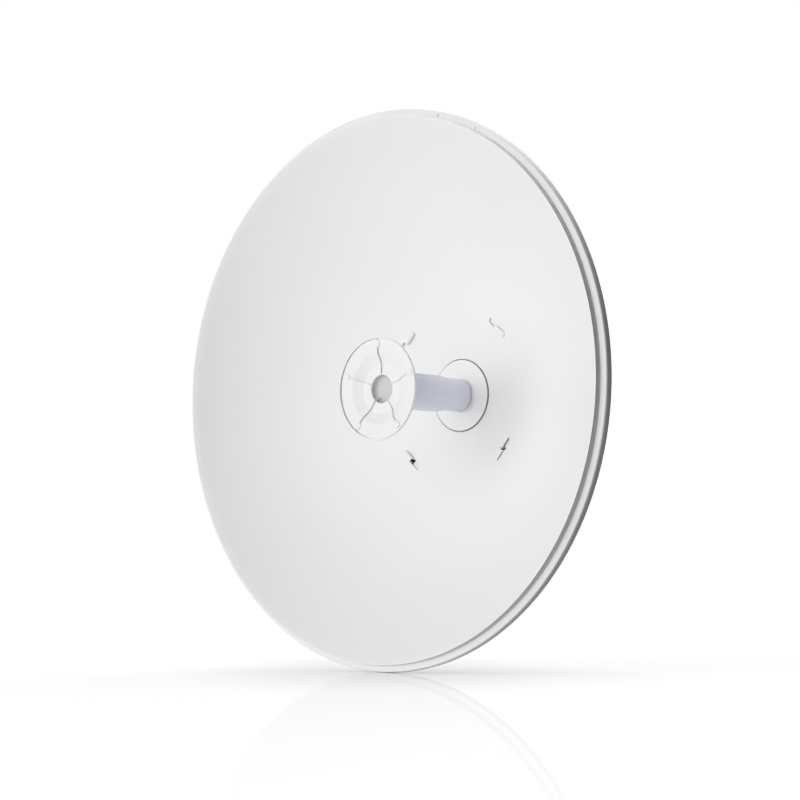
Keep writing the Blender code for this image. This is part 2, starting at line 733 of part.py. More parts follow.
def main():
    """Builds the antenna."""
    clear_scene()
    white = make_material("white_paint", (0.86, 0.86, 0.86), 0.35, 0.0)
    plastic = make_material("feed_plastic", (0.86, 0.86, 0.86), 0.4, 0.0)
    cool = make_material("tube_plastic", (0.78, 0.79, 0.86), 0.4, 0.0)
    dark = make_material("plug_grey", (0.62, 0.62, 0.64), 0.5, 0.0)
    aluminium = make_material("housing_metal", (0.72, 0.73, 0.75), 0.35, 1.0)
    galvanised = make_material("galvanised", (0.62, 0.64, 0.66), 0.45, 1.0)
    black = make_material("black_coat", (0.03, 0.03, 0.032), 0.6, 0.0)
    steel = make_material("bolt_steel", (0.7, 0.7, 0.7), 0.3, 1.0)
    make_reflector(white)
    make_tube(plastic, cool)
    make_splash_plate(plastic, dark)
    make_housing(aluminium)
    make_hub_plate(black)
    make_hooks(black)
    make_cheek("cheek_left", -1, galvanised)
    make_cheek("cheek_right", 1, galvanised)
    make_rear_bracket(galvanised)
    make_jaw("jaw_upper", CLAMP_BOLT_Z, galvanised)
    make_jaw("jaw_lower", -CLAMP_BOLT_Z, galvanised)
    make_plate_bolts(steel)
    make_side_bolts(steel)
    make_clamp_bolts(steel)


main()
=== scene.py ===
"""The looks of a 648 mm parabolic dish antenna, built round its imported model.

The dish looks along -Y, +Z is up and the origin lies on the flat rear face of the mount. All lengths
are metres, written as millimetres times MM. Each sub-assembly is a class that builds its pieces,
gives them their finish and hangs them on the model's one body.
"""

import logging
import math
from collections.abc import Iterable, Mapping, Sequence
from dataclasses import dataclass
from enum import Enum

import bmesh
import bpy
from mathutils import Matrix, Vector


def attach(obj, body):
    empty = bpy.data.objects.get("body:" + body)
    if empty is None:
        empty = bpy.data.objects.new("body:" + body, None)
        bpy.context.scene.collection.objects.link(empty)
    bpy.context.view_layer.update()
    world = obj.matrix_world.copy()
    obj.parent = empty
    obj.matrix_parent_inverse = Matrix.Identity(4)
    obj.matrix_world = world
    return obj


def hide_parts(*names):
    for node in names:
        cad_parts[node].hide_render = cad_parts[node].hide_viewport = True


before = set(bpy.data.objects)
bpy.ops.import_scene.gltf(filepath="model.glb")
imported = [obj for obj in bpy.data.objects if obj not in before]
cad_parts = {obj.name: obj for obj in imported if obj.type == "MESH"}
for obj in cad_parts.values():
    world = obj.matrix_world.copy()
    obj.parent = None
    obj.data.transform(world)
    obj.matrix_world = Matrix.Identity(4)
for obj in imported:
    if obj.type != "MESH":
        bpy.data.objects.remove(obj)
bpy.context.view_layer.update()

MM = 0.001
BODY = "root"
FULL_TURN = 2.0 * math.pi
LOG = logging.getLogger("dish_antenna")

Number = float | int
Span = tuple[float, float]
Triple = tuple[float, float, float]
Light = tuple[Triple, float]
WHITE = (1.0, 1.0, 1.0, 1.0)

# The air between two pieces, how far a tool reaches past what it cuts, and what is too small to keep
GAP = 0.3 * MM
CLEAR = 1.0 * MM
SAME_POINT = 0.001 * MM
NO_SIZE = 0.0001 * MM

# Small steps, and how far the edges of most pieces are rounded, from the sharpest to the softest
SHARP = 0.1 * MM
HAIR = 0.2 * MM
FINE = 0.3 * MM
MILD = 0.4 * MM
SOFT = 0.5 * MM
FULL = 0.8 * MM

# The holes of every bolt, and where the lances and the hooks in them lie round the hub
HOLE_RADIUS = 4.5 * MM
LANCE_RADIUS = 101.0 * MM
LANCE_TURN = 3.4

# On a form that is round in places, only edges whose faces meet at more degrees than this are eased
REAL_EDGE = 60.0


# Shader graphs
class Value:
    """One number of a shader graph, which Python's operators combine through Math nodes."""

    def __init__(self, graph: "Graph", socket: bpy.types.NodeSocket) -> None:
        """Wraps a socket of the graph."""
        self.graph = graph
        self.socket = socket

    def __add__(self, other: "Value | Number") -> "Value":
        """The sum."""
        return self.graph.math("ADD", self, other)

    def __radd__(self, other: Number) -> "Value":
        """The sum, reflected."""
        return self.graph.math("ADD", other, self)

    def __sub__(self, other: "Value | Number") -> "Value":
        """The difference."""
        return self.graph.math("SUBTRACT", self, other)

    def __rsub__(self, other: Number) -> "Value":
        """The difference, reflected."""
        return self.graph.math("SUBTRACT", other, self)

    def __mul__(self, other: "Value | Number") -> "Value":
        """The product."""
        return self.graph.math("MULTIPLY", self, other)

    def __rmul__(self, other: Number) -> "Value":
        """The product, reflected."""
        return self.graph.math("MULTIPLY", other, self)

    def __pow__(self, other: "Value | Number") -> "Value":
        """The power."""
        return self.graph.math("POWER", self, other)

    def __rpow__(self, other: Number) -> "Value":
        """The power, reflected."""
        return self.graph.math("POWER", other, self)

    def clamped(self, low: Number = 0.0, high: Number = 1.0) -> "Value":
        """The number held between two limits."""
        return self.graph.math("MINIMUM", self.graph.math("MAXIMUM", self, low), high)

    def swing(self, width: Number) -> "Value":
        """A number from 0 to 1 made one that swings evenly to both sides of zero."""
        return (self - 0.5) * width


@dataclass(frozen=True)
class Noise:
    """A noise pattern: its cells per metre and its number of finer octaves."""

    scale: float
    octaves: float


class Graph:
    """The node tree of a material or of the world, cleared and filled again."""

    def __init__(self, owner: bpy.types.Material | bpy.types.World) -> None:
        """Clears the owner's node tree.

        Args:
            owner: The material or world to fill.
        """
        owner.use_nodes = True
        self.tree = owner.node_tree
        self.tree.nodes.clear()

    def node(
        self,
        kind: str,
        settings: Mapping[str, object] | None = None,
        sockets: Mapping[str | int, object] | None = None,
    ) -> bpy.types.Node:
        """Adds one node, sets it up and then feeds its sockets.

        Args:
            kind: The node's type without its ShaderNode prefix.
            settings: The node's own settings.
            sockets: A value, or a link's source, for each named or numbered input.

        Returns:
            The new node.
        """
        made = self.tree.nodes.new("ShaderNode" + kind)
        for name, setting in (settings or {}).items():
            setattr(made, name, setting)
        for name, given in (sockets or {}).items():
            self.feed(made.inputs[name], given)
        return made

    def feed(self, socket: bpy.types.NodeSocket, given: object) -> None:
        """Links a source to an input, or sets the input to a plain value.

        Args:
            socket: The input.
            given: A Value, another node's output, or what the input is set to.
        """
        if isinstance(given, Value):
            self.tree.links.new(given.socket, socket)
        elif isinstance(given, bpy.types.NodeSocket):
            self.tree.links.new(given, socket)
        else:
            socket.default_value = given

    def value(
        self,
        kind: str,
        settings: Mapping[str, object] | None = None,
        sockets: Mapping[str | int, object] | None = None,
        output: str | int = 0,
    ) -> Value:
        """Adds one node as node() does and returns one of its outputs as a Value."""
        return Value(self, self.node(kind, settings, sockets).outputs[output])

    def math(self, operation: str, first: Value | Number, second: Value | Number) -> Value:
        """Adds one Math node."""
        return self.value("Math", {"operation": operation}, {0: first, 1: second})

    def place(self) -> bpy.types.NodeSocket:
        """The point in the object's own frame, which is the antenna's frame too."""
        return self.node("TexCoord").outputs["Object"]

    def along(self, vector: bpy.types.NodeSocket, direction: Triple) -> Value:
        """How far a vector reaches in a direction."""
        return self.value("VectorMath", {"operation": "DOT_PRODUCT"}, {0: vector, 1: direction}, "Value")

    def noise(self, where: bpy.types.NodeSocket, noise: Noise) -> Value:
        """A noise field from 0 to 1 over the vector that it reads."""
        sockets = {"Vector": where, "Scale": noise.scale, "Detail": noise.octaves}
        return self.value("TexNoise", sockets=sockets, output="Fac")

    def stretched(self, where: bpy.types.NodeSocket, scale: Triple) -> bpy.types.NodeSocket:
        """The vector with each axis scaled."""
        mapping = self.node("Mapping", {"vector_type": "POINT"}, {"Vector": where, "Scale": scale})
        return mapping.outputs["Vector"]

    def blend(self, share: Value, first: Triple, second: Triple) -> bpy.types.NodeSocket:
        """A colour between two others, by way of the Mix node's sockets for colours.

        Args:
            share: How much of the second one it has.
            first: The colour at 0.
            second: The colour at 1.

        Returns:
            The colour's socket.
        """
        factor, from_first, from_second, result = 0, 6, 7, 2
        sockets = {factor: share, from_first: (*first, 1.0), from_second: (*second, 1.0)}
        return self.node("Mix", {"data_type": "RGBA"}, sockets).outputs[result]

    def bump(self, height: Value, depth: float, strength: float) -> bpy.types.NodeSocket:
        """A normal bent by a height field, one unit of which stands for a depth in metres."""
        sockets = {"Height": height, "Distance": depth, "Strength": strength}
        return self.node("Bump", sockets=sockets).outputs["Normal"]


# Finishes
Pattern = tuple[Value, Value, Value]


@dataclass(frozen=True)
class Finish:
    """What every finish has: a name, its slot in the record, a colour, a gloss and how they vary.

    The tones are the colour's darkest and lightest shade, depth is the height of its relief in metres
    and relief is the share of it that bends the normal.
    """

    name: str
    slot: str
    colour: Triple
    roughness: float
    metallic: float = 0.0
    tones: Span = (1.0, 1.0)
    depth: float = 0.02 * MM
    relief: float = 0.5

    def material(self) -> bpy.types.Material:
        """Builds the material at its first use.

        Returns:
            The material.
        """
        made = bpy.data.materials.get(self.name)
        if made is not None:
            return made
        made = bpy.data.materials.new(self.name)
        graph = Graph(made)
        steady = {"Metallic": self.metallic, "Roughness": self.roughness, "Base Color": (*self.colour, 1.0)}
        shader = graph.node("BsdfPrincipled", sockets=steady)
        tint, gloss, height = self.pattern(graph)
        dark, light = self.tones
        graph.feed(shader.inputs["Base Color"], graph.blend(tint, self.shade(dark), self.shade(light)))
        graph.feed(shader.inputs["Roughness"], (self.roughness + gloss).clamped())
        graph.feed(shader.inputs["Normal"], graph.bump(height, self.depth, self.relief))
        graph.node("OutputMaterial", sockets={"Surface": shader.outputs["BSDF"]})
        made.diffuse_color = (*self.colour, 1.0)
        return made

    def pattern(self, graph: Graph) -> Pattern:
        """How the finish varies: its share of the light tone, its gloss and its height."""
        raise NotImplementedError(f"{type(self).__name__} has no pattern")

    def shade(self, factor: float) -> Triple:
        """The finish's colour made lighter or darker."""
        return tuple(min(1.0, channel * factor) for channel in self.colour)


@dataclass(frozen=True)
class PowderCoat(Finish):
    """Satin powder coat: a fine orange peel, faint clouds of tone and specks in the gloss."""

    tones: Span = (0.985, 1.01)
    depth: float = 0.03 * MM
    relief: float = 0.6
    clouds: Noise = Noise(7.0, 3.0)
    peel: Noise = Noise(520.0, 1.5)
    flecks: Noise = Noise(1560.0, 0.0)
    cloud_gloss: float = 0.05
    fleck_gloss: float = 0.08
    fleck_height: float = 0.3

    def pattern(self, graph: Graph) -> Pattern:
        """Clouds tint the coat, and the peel bends its normal and breaks up its gloss.

        Args:
            graph: The material's graph.

        Returns:
            The share of the light tone, what is added to the roughness, and the height.
        """
        where = graph.place()
        cloud = graph.noise(where, self.clouds)
        fleck = graph.noise(where, self.flecks)
        gloss = cloud.swing(self.cloud_gloss) + fleck.swing(self.fleck_gloss)
        return cloud, gloss, graph.noise(where, self.peel) + fleck * self.fleck_height


@dataclass(frozen=True)
class MouldedPlastic(Finish):
    """Injection-moulded plastic with a spark-eroded grain and faint flow streaks away from the hub."""

    tones: Span = (0.98, 1.01)
    depth: float = 0.012 * MM
    streak_scale: Triple = (26.0, 5.0, 26.0)
    streaks: Noise = Noise(1.0, 2.0)
    grain: Noise = Noise(1500.0, 1.0)
    streak_gloss: float = 0.05
    grain_gloss: float = 0.1

    def pattern(self, graph: Graph) -> Pattern:
        """Streaks run along the feed's axis, and the grain covers everything.

        Args:
            graph: The material's graph.

        Returns:
            The share of the light tone, what is added to the roughness, and the height.
        """
        where = graph.place()
        streak = graph.noise(graph.stretched(where, self.streak_scale), self.streaks)
        grain = graph.noise(where, self.grain)
        return streak, grain.swing(self.grain_gloss) + streak.swing(self.streak_gloss), grain


@dataclass(frozen=True)
class ZincSheet(Finish):
    """Hot-dip galvanised sheet: soft-edged spangles, a dull bloom and fine rolling lines."""

    tones: Span = (0.86, 1.1)
    spangle_scale: float = 95.0
    spangle_disorder: float = 0.9
    spangle_share: float = 0.7
    spangle_gloss: float = 0.14
    spangle_height: float = 0.8
    blooms: Noise = Noise(18.0, 4.0)
    bloom_share: float = 0.6
    bloom_gloss: float = 0.2
    darkening: float = 0.15
    line_scale: Triple = (900.0, 60.0, 60.0)
    lines: Noise = Noise(1.0, 1.0)

    def pattern(self, graph: Graph) -> Pattern:
        """Each spangle has its own tone and gloss, and a bloom dulls some patches.

        Args:
            graph: The material's graph.

        Returns:
            The share of the light tone, what is added to the roughness, and the height.
        """
        where = graph.place()
        cells = {"Vector": where, "Scale": self.spangle_scale, "Randomness": self.spangle_disorder}
        colours = graph.node("TexVoronoi", {"feature": "F1"}, cells).outputs["Color"]
        spangle = graph.value("SeparateColor", sockets={"Color": colours}, output="Red")
        bloom = graph.noise(where, self.blooms)
        lines = graph.noise(graph.stretched(where, self.line_scale), self.lines)
        tint = (spangle * self.spangle_share + bloom * self.bloom_share - self.darkening).clamped()
        gloss = spangle.swing(self.spangle_gloss) + bloom.swing(self.bloom_gloss)
        return tint, gloss, lines + spangle * self.spangle_height


@dataclass(frozen=True)
class BrightZinc(Finish):
    """Bright zinc plating on fasteners: a clean gloss with a faint haze."""

    tones: Span = (0.9, 1.08)
    relief: float = 0.3
    hazes: Noise = Noise(160.0, 3.0)
    haze_gloss: float = 0.3

    def pattern(self, graph: Graph) -> Pattern:
        """Patches of haze vary the tone, the gloss and the height."""
        haze = graph.noise(graph.place(), self.hazes)
        return haze, haze.swing(self.haze_gloss), haze


@dataclass(frozen=True)
class TurnedMetal(Finish):
    """Aluminium turned round the feed's axis, with fine tool marks."""

    tones: Span = (0.93, 1.04)
    depth: float = 0.01 * MM
    relief: float = 0.6
    tool_marks: Noise = Noise(2600.0, 1.0)
    mark_gloss: float = 0.18

    def pattern(self, graph: Graph) -> Pattern:
        """The marks follow the distance from the axis and the way along it.

        Args:
            graph: The material's graph.

        Returns:
            The share of the light tone, what is added to the roughness, and the height.
        """
        split = graph.node("SeparateXYZ", sockets={"Vector": graph.place()})
        x, y, z = (Value(graph, split.outputs[axis]) for axis in "XYZ")
        radius = (x**2.0 + z**2.0) ** 0.5
        polar = graph.node("CombineXYZ", sockets={"X": radius, "Y": y}).outputs["Vector"]
        marks = graph.noise(polar, self.tool_marks)
        return marks, marks.swing(self.mark_gloss), marks


# The finishes of this antenna
WHITE_COAT = PowderCoat("white_powder_coat", "white_paint", (0.86, 0.86, 0.86), 0.38)
WHITE_PLASTIC = MouldedPlastic("white_plastic", "feed_plastic", (0.88, 0.88, 0.88), 0.42)
# The tube's plastic is greyer and bluer than the plate's: partly a greyer plastic, partly painted shade for
# the cool shade round the tube
TUBE_PLASTIC = MouldedPlastic("tube_plastic", "tube_plastic", (0.81, 0.81, 0.83), 0.42)
# The plug's grey is partly its own colour, partly painted shade for the bottom of the deep hole
PLUG_PLASTIC = MouldedPlastic("plug_plastic", "plug_grey", (0.58, 0.58, 0.59), 0.5)
GALVANISED = ZincSheet("galvanised_sheet", "galvanised", (0.62, 0.64, 0.66), 0.45, 1.0)
# Near black for the hub plate and its hooks: a coat for the mount, and dark also to paint the shade seen
# through the lance mouths
BLACK_COAT = PowderCoat("black_coat", "black_coat", (0.03, 0.03, 0.032), 0.6)
# Painted shade: a grey for the ring round the hub disc, which stands for the shade on the disc's side wall
PAINTED_SHADE_GREY = MouldedPlastic("painted_shade_ring", "black_coat", (0.42, 0.42, 0.43), 0.7)
FASTENER_ZINC = BrightZinc("fastener_zinc", "bolt_steel", (0.7, 0.7, 0.7), 0.3, 1.0)
TURNED_ALUMINIUM = TurnedMetal("turned_aluminium", "housing_metal", (0.72, 0.73, 0.75), 0.35, 1.0)


# Shapes
@dataclass(frozen=True)
class Corner:
    """One corner of an outline: its two coordinates and how far it is rounded."""

    a: float
    b: float
    ease: float = 0.0


class Joining(Enum):
    """How a second shape is combined with a first."""

    ADD = "UNION"
    CUT = "DIFFERENCE"
    KEEP = "INTERSECT"


def axes(a: Sequence[float], b: Sequence[float], depth: Sequence[float], origin: Sequence[float]) -> Matrix:
    """The matrix that takes an outline's own coordinates to the antenna's frame.

    Args:
        a: The direction of the outline's first coordinate.
        b: The direction of its second coordinate.
        depth: The direction that it is extruded along.
        origin: Where its zero point lies.

    Returns:
        The 4x4 matrix.
    """
    made = Matrix.Identity(4)
    for column, direction in enumerate((a, b, depth, origin)):
        for row in range(3):
            made[row][column] = direction[row]
    return made


X, Y, Z, ORIGIN = (1.0, 0.0, 0.0), (0.0, 1.0, 0.0), (0.0, 0.0, 1.0), (0.0, 0.0, 0.0)


class Lying(Enum):
    """The plane of an outline, and the axis that it is extruded along."""

    ALONG_X = axes(Y, Z, X, ORIGIN)
    ALONG_Y = axes(X, Z, Y, ORIGIN)
    ALONG_Z = axes(X, Y, Z, ORIGIN)


def oblong(a: Span, b: Span, eases: Sequence[float] = (0.0, 0.0, 0.0, 0.0)) -> list[Corner]:
    """The corners of a rectangle, from the first of both spans and on along the first span.

    Args:
        a: Where it starts and ends in the first coordinate.
        b: Where it starts and ends in the second coordinate.
        eases: How far each corner is rounded.

    Returns:
        The four corners in order.
    """
    places = ((a[0], b[0]), (a[1], b[0]), (a[1], b[1]), (a[0], b[1]))
    return [Corner(*place, ease) for place, ease in zip(places, eases)]


def polygon(sides: int, radius: float) -> list[Corner]:
    """The corners of a regular outline round zero."""
    turns = [FULL_TURN * side / sides for side in range(sides)]
    return [Corner(radius * math.cos(turn), radius * math.sin(turn)) for turn in turns]


def thread(radius: float, low: float, high: float, pitch: float) -> list[Corner]:
    """The roots and crests of a thread between two heights.

    Args:
        radius: The radius of its crests.
        low: Where it starts.
        high: Where it ends.
        pitch: From one crest to the next.

    Returns:
        The section's corners, from low to high.
    """
    root, crest_from, crest_to = radius - 0.5 * pitch, 0.45 * pitch, 0.6 * pitch
    corners = []
    for ridge in range(int((high - low) / pitch)):
        foot = low + ridge * pitch
        corners += [Corner(root, foot), Corner(radius, foot + crest_from), Corner(radius, foot + crest_to)]
    return corners


def linked(name: str, data: bpy.types.ID) -> bpy.types.Object:
    """Makes an object and links it to the scene.

    Args:
        name: The object's name.
        data: Its mesh or camera.

    Returns:
        The object.
    """
    made = bpy.data.objects.new(name, data)
    bpy.context.scene.collection.objects.link(made)
    return made


class Blank:
    """A mesh being shaped, held as a bmesh in the antenna's frame."""

    def __init__(self) -> None:
        """Starts with nothing."""
        self.bm = bmesh.new()

    @classmethod
    def turned(cls, section: Sequence[Corner], steps: int, closed: bool = False, arc: int = 4) -> "Blank":
        """Spins a section once round the Y axis.

        Args:
            section: Corners as (radius, y), in order.
            steps: How many facets the full turn has.
            closed: Whether the last corner joins the first, as on a ring or a sheet.
            arc: How many facets each rounded corner has.

        Returns:
            The turned shape, with outward normals.
        """
        blank = cls()
        blank._trace(section, 0.0, closed, arc)
        bm = blank.bm
        swept = bm.verts[:] + bm.edges[:]
        bmesh.ops.spin(bm, geom=swept, cent=ORIGIN, axis=Y, angle=FULL_TURN, steps=steps, use_merge=True)
        return blank._tidied()

    @classmethod
    def prism(
        cls, outline: Sequence[Corner], lying: Lying | Matrix, low: float, high: float, arc: int = 4
    ) -> "Blank":
        """Extrudes a flat outline.

        Args:
            outline: Corners in the plane, in order.
            lying: The plane, or a matrix from the outline's own frame.
            low: Where the extrusion starts.
            high: Where it ends.
            arc: How many facets each rounded corner has.

        Returns:
            The closed prism, with outward normals.
        """
        blank = cls()
        blank._trace(outline, low, True, arc)
        bm = blank.bm
        bmesh.ops.contextual_create(bm, geom=bm.edges[:])
        swept = bmesh.ops.extrude_face_region(bm, geom=bm.faces[:])["geom"]
        moved = [item for item in swept if isinstance(item, bmesh.types.BMVert)]
        bmesh.ops.translate(bm, verts=moved, vec=(0.0, 0.0, high - low))
        return blank.placed(lying.value if isinstance(lying, Lying) else lying)

    @classmethod
    def swept(
        cls, outline: Sequence[Corner], place: Matrix, centre: Vector, axis: Triple, angle: float, steps: int
    ) -> "Blank":
        """Sweeps a flat outline part of the way round an axis, half to each side.

        Args:
            outline: Corners in the plane, in order.
            place: The outline's own frame.
            centre: A point of the axis.
            axis: The axis's direction.
            angle: How far the sweep goes.
            steps: How many facets it has.

        Returns:
            The closed sweep, with outward normals.
        """
        blank = cls()
        blank._trace(outline, 0.0, True, 4)
        bm = blank.bm
        bmesh.ops.contextual_create(bm, geom=bm.edges[:])
        bmesh.ops.transform(bm, matrix=place, verts=bm.verts)
        back = Matrix.Rotation(-0.5 * angle, 3, Vector(axis))
        bmesh.ops.rotate(bm, cent=centre, matrix=back, verts=bm.verts)
        swept = bm.verts[:] + bm.edges[:] + bm.faces[:]
        bmesh.ops.spin(bm, geom=swept, cent=centre, axis=axis, angle=angle, steps=steps, use_merge=False)
        return blank._tidied()

    @classmethod
    def drill(
        cls, radius: float, lying: Lying, centre: Span, low: float, high: float, sides: int = 40
    ) -> "Blank":
        """A round bar, to drill with.

        Args:
            radius: The bar's radius.
            lying: The plane of its section.
            centre: The section's centre in that plane.
            low: Where the bar starts.
            high: Where it ends.
            sides: How many facets it has.

        Returns:
            The bar.
        """
        blank = cls()
        depth = high - low
        bm = blank.bm
        bmesh.ops.create_cone(bm, cap_ends=True, segments=sides, radius1=radius, radius2=radius, depth=depth)
        bmesh.ops.translate(bm, verts=bm.verts, vec=(*centre, low + 0.5 * depth))
        return blank.placed(lying.value)

    def _trace(self, corners: Sequence[Corner], height: float, closed: bool, arc: int) -> None:
        """Draws an outline as a wire and rounds the corners that have an ease.

        Args:
            corners: The outline's corners, in order.
            height: The third coordinate of them all.
            closed: Whether the last corner joins the first.
            arc: How many facets each rounded corner has.
        """
        verts = [self.bm.verts.new((corner.a, corner.b, height)) for corner in corners]
        following = verts[1:] + (verts[:1] if closed else [])
        for first, second in zip(verts, following):
            self.bm.edges.new((first, second))
        for ease in sorted({corner.ease for corner in corners if corner.ease > 0.0}):
            chosen = [vert for vert, corner in zip(verts, corners) if corner.ease == ease]
            bmesh.ops.bevel(
                self.bm, geom=chosen, offset=ease, offset_type="OFFSET", segments=arc, profile=0.5,
                affect="VERTICES", material=-1,
            )

    def _tidied(self) -> "Blank":
        """Merges doubles, drops what has no size and turns the faces outwards.

        Returns:
            This blank.
        """
        bmesh.ops.remove_doubles(self.bm, verts=self.bm.verts, dist=SAME_POINT)
        bmesh.ops.dissolve_degenerate(self.bm, dist=NO_SIZE, edges=self.bm.edges)
        bmesh.ops.recalc_face_normals(self.bm, faces=self.bm.faces)
        return self

    def placed(self, matrix: Matrix) -> "Blank":
        """Moves the shape by a matrix and returns it."""
        bmesh.ops.transform(self.bm, matrix=matrix, verts=self.bm.verts)
        return self._tidied()

    def with_shapes(self, others: Iterable["Blank"]) -> "Blank":
        """Lays other shapes into this one as they are, and uses them up.

        Args:
            others: The shapes to add.

        Returns:
            This blank, with them.
        """
        for other in others:
            mesh = other._mesh("joined")
            self.bm.from_mesh(mesh)
            bpy.data.meshes.remove(mesh)
        return self

    def combined(self, tool: "Blank", joining: Joining) -> "Blank":
        """Applies one exact Boolean and uses up the tool.

        Args:
            tool: The second shape.
            joining: Whether it is added, cut away or kept in common.

        Returns:
            This blank, changed.
        """
        target = linked("target", self._mesh("target"))
        cutter = linked("cutter", tool._mesh("cutter"))
        step = target.modifiers.new("step", "BOOLEAN")
        step.operation = joining.value
        step.solver = "EXACT"
        step.object = cutter
        graph = bpy.context.evaluated_depsgraph_get()
        result = bpy.data.meshes.new_from_object(target.evaluated_get(graph))
        self.bm = bmesh.new()
        self.bm.from_mesh(result)
        used = [result, target.data, cutter.data]
        for thing in (target, cutter):
            bpy.data.objects.remove(thing, do_unlink=True)
        for mesh in used:
            bpy.data.meshes.remove(mesh)
        return self

    def trimmed(self, outline: Sequence[Corner], lying: Lying, low: float, high: float) -> "Blank":
        """Keeps only what lies inside an extruded outline."""
        return self.combined(Blank.prism(outline, lying, low, high, arc=8), Joining.KEEP)

    def bored(
        self, radius: float, lying: Lying, centre: Span, low: float, high: float, sides: int = 40
    ) -> "Blank":
        """Drills one round hole a little beyond both faces."""
        bar = Blank.drill(radius, lying, centre, low - CLEAR, high + CLEAR, sides)
        return self.combined(bar, Joining.CUT)

    def bolt_holes(self, lying: Lying, centres: Iterable[Span], low: float, high: float) -> "Blank":
        """Drills a bolt's hole at each of some places.

        Args:
            lying: The plane of the holes.
            centres: The holes' centres in that plane.
            low: The lower face that they go through.
            high: The upper face.

        Returns:
            This blank, drilled.
        """
        for centre in centres:
            self.bored(HOLE_RADIUS, lying, centre, low, high)
        return self

    def eased(self, width: float, segments: int = 2, sharper_than: float = 40.0) -> "Blank":
        """Rounds every edge whose faces meet at more than a given angle.

        Args:
            width: How far each edge is rounded.
            segments: How many facets the rounding has.
            sharper_than: The angle between the faces' normals, in degrees.

        Returns:
            This blank, changed.
        """
        limit = math.radians(sharper_than)
        picked = [edge for edge in self.bm.edges if edge.is_manifold and edge.calc_face_angle() > limit]
        bmesh.ops.bevel(
            self.bm, geom=picked, offset=width, offset_type="OFFSET", segments=segments, profile=0.5,
            affect="EDGES", clamp_overlap=True, material=-1,
        )
        return self._tidied()

    def tapered(self, share: float, length: float) -> "Blank":
        """Lowers a shape evenly, from its full height at x = 0 to a share of it.

        Args:
            share: The share of the height that is left at the far end.
            length: How far from x = 0, towards -X, that end lies.

        Returns:
            This blank, changed.
        """
        for vert in self.bm.verts:
            if vert.co.y > 0.0:
                vert.co.y *= 1.0 + (1.0 - share) * vert.co.x / length
        return self

    def _mesh(self, name: str) -> bpy.types.Mesh:
        """Writes the bmesh into a new mesh and frees it.

        Args:
            name: The mesh's name.

        Returns:
            The mesh.
        """
        mesh = bpy.data.meshes.new(name)
        self.bm.to_mesh(mesh)
        self.bm.free()
        return mesh

    def to_piece(
        self, node: str, finish: Finish, sharp: float = 32.0, added: bool = False
    ) -> bpy.types.Object:
        """Makes the finished piece, hangs it on the body and hides the node that it stands for.

        Args:
            node: The model's node that it replaces, after which it is named.
            finish: Its finish.
            sharp: Edges that meet at more degrees than this are shaded sharp.
            added: Whether it is a detail of its own that stands for no node.

        Returns:
            The piece's object.
        """
        name = f"{node}_piece"
        mesh = self._mesh(name)
        mesh.shade_smooth()
        mesh.set_sharp_from_angle(angle=math.radians(sharp))
        mesh.materials.append(finish.material())
        piece = linked(name, mesh)
        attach(piece, BODY)
        if not added:
            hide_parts(node)
        LOG.info("%s: %d faces in %s", name, len(mesh.polygons), finish.name)
        return piece


# The reflector
def diagonal(quarter: int, further: float = 0.0) -> float:
    """The angle in radians of a diagonal, from the upper right on, and some degrees further."""
    return math.radians(45.0 + 90.0 * quarter + further)


def lance_directions(quarter: int) -> tuple[Vector, Vector]:
    """The directions away from the hub and round it at one of the four lances.

    Args:
        quarter: The lance's number, from the upper right by way of the upper left.

    Returns:
        The radial and the tangential direction.
    """
    angle = diagonal(quarter, LANCE_TURN)
    radial = Vector((math.cos(angle), 0.0, math.sin(angle)))
    tangent = Vector((-math.sin(angle), 0.0, math.cos(angle)))
    return radial, tangent


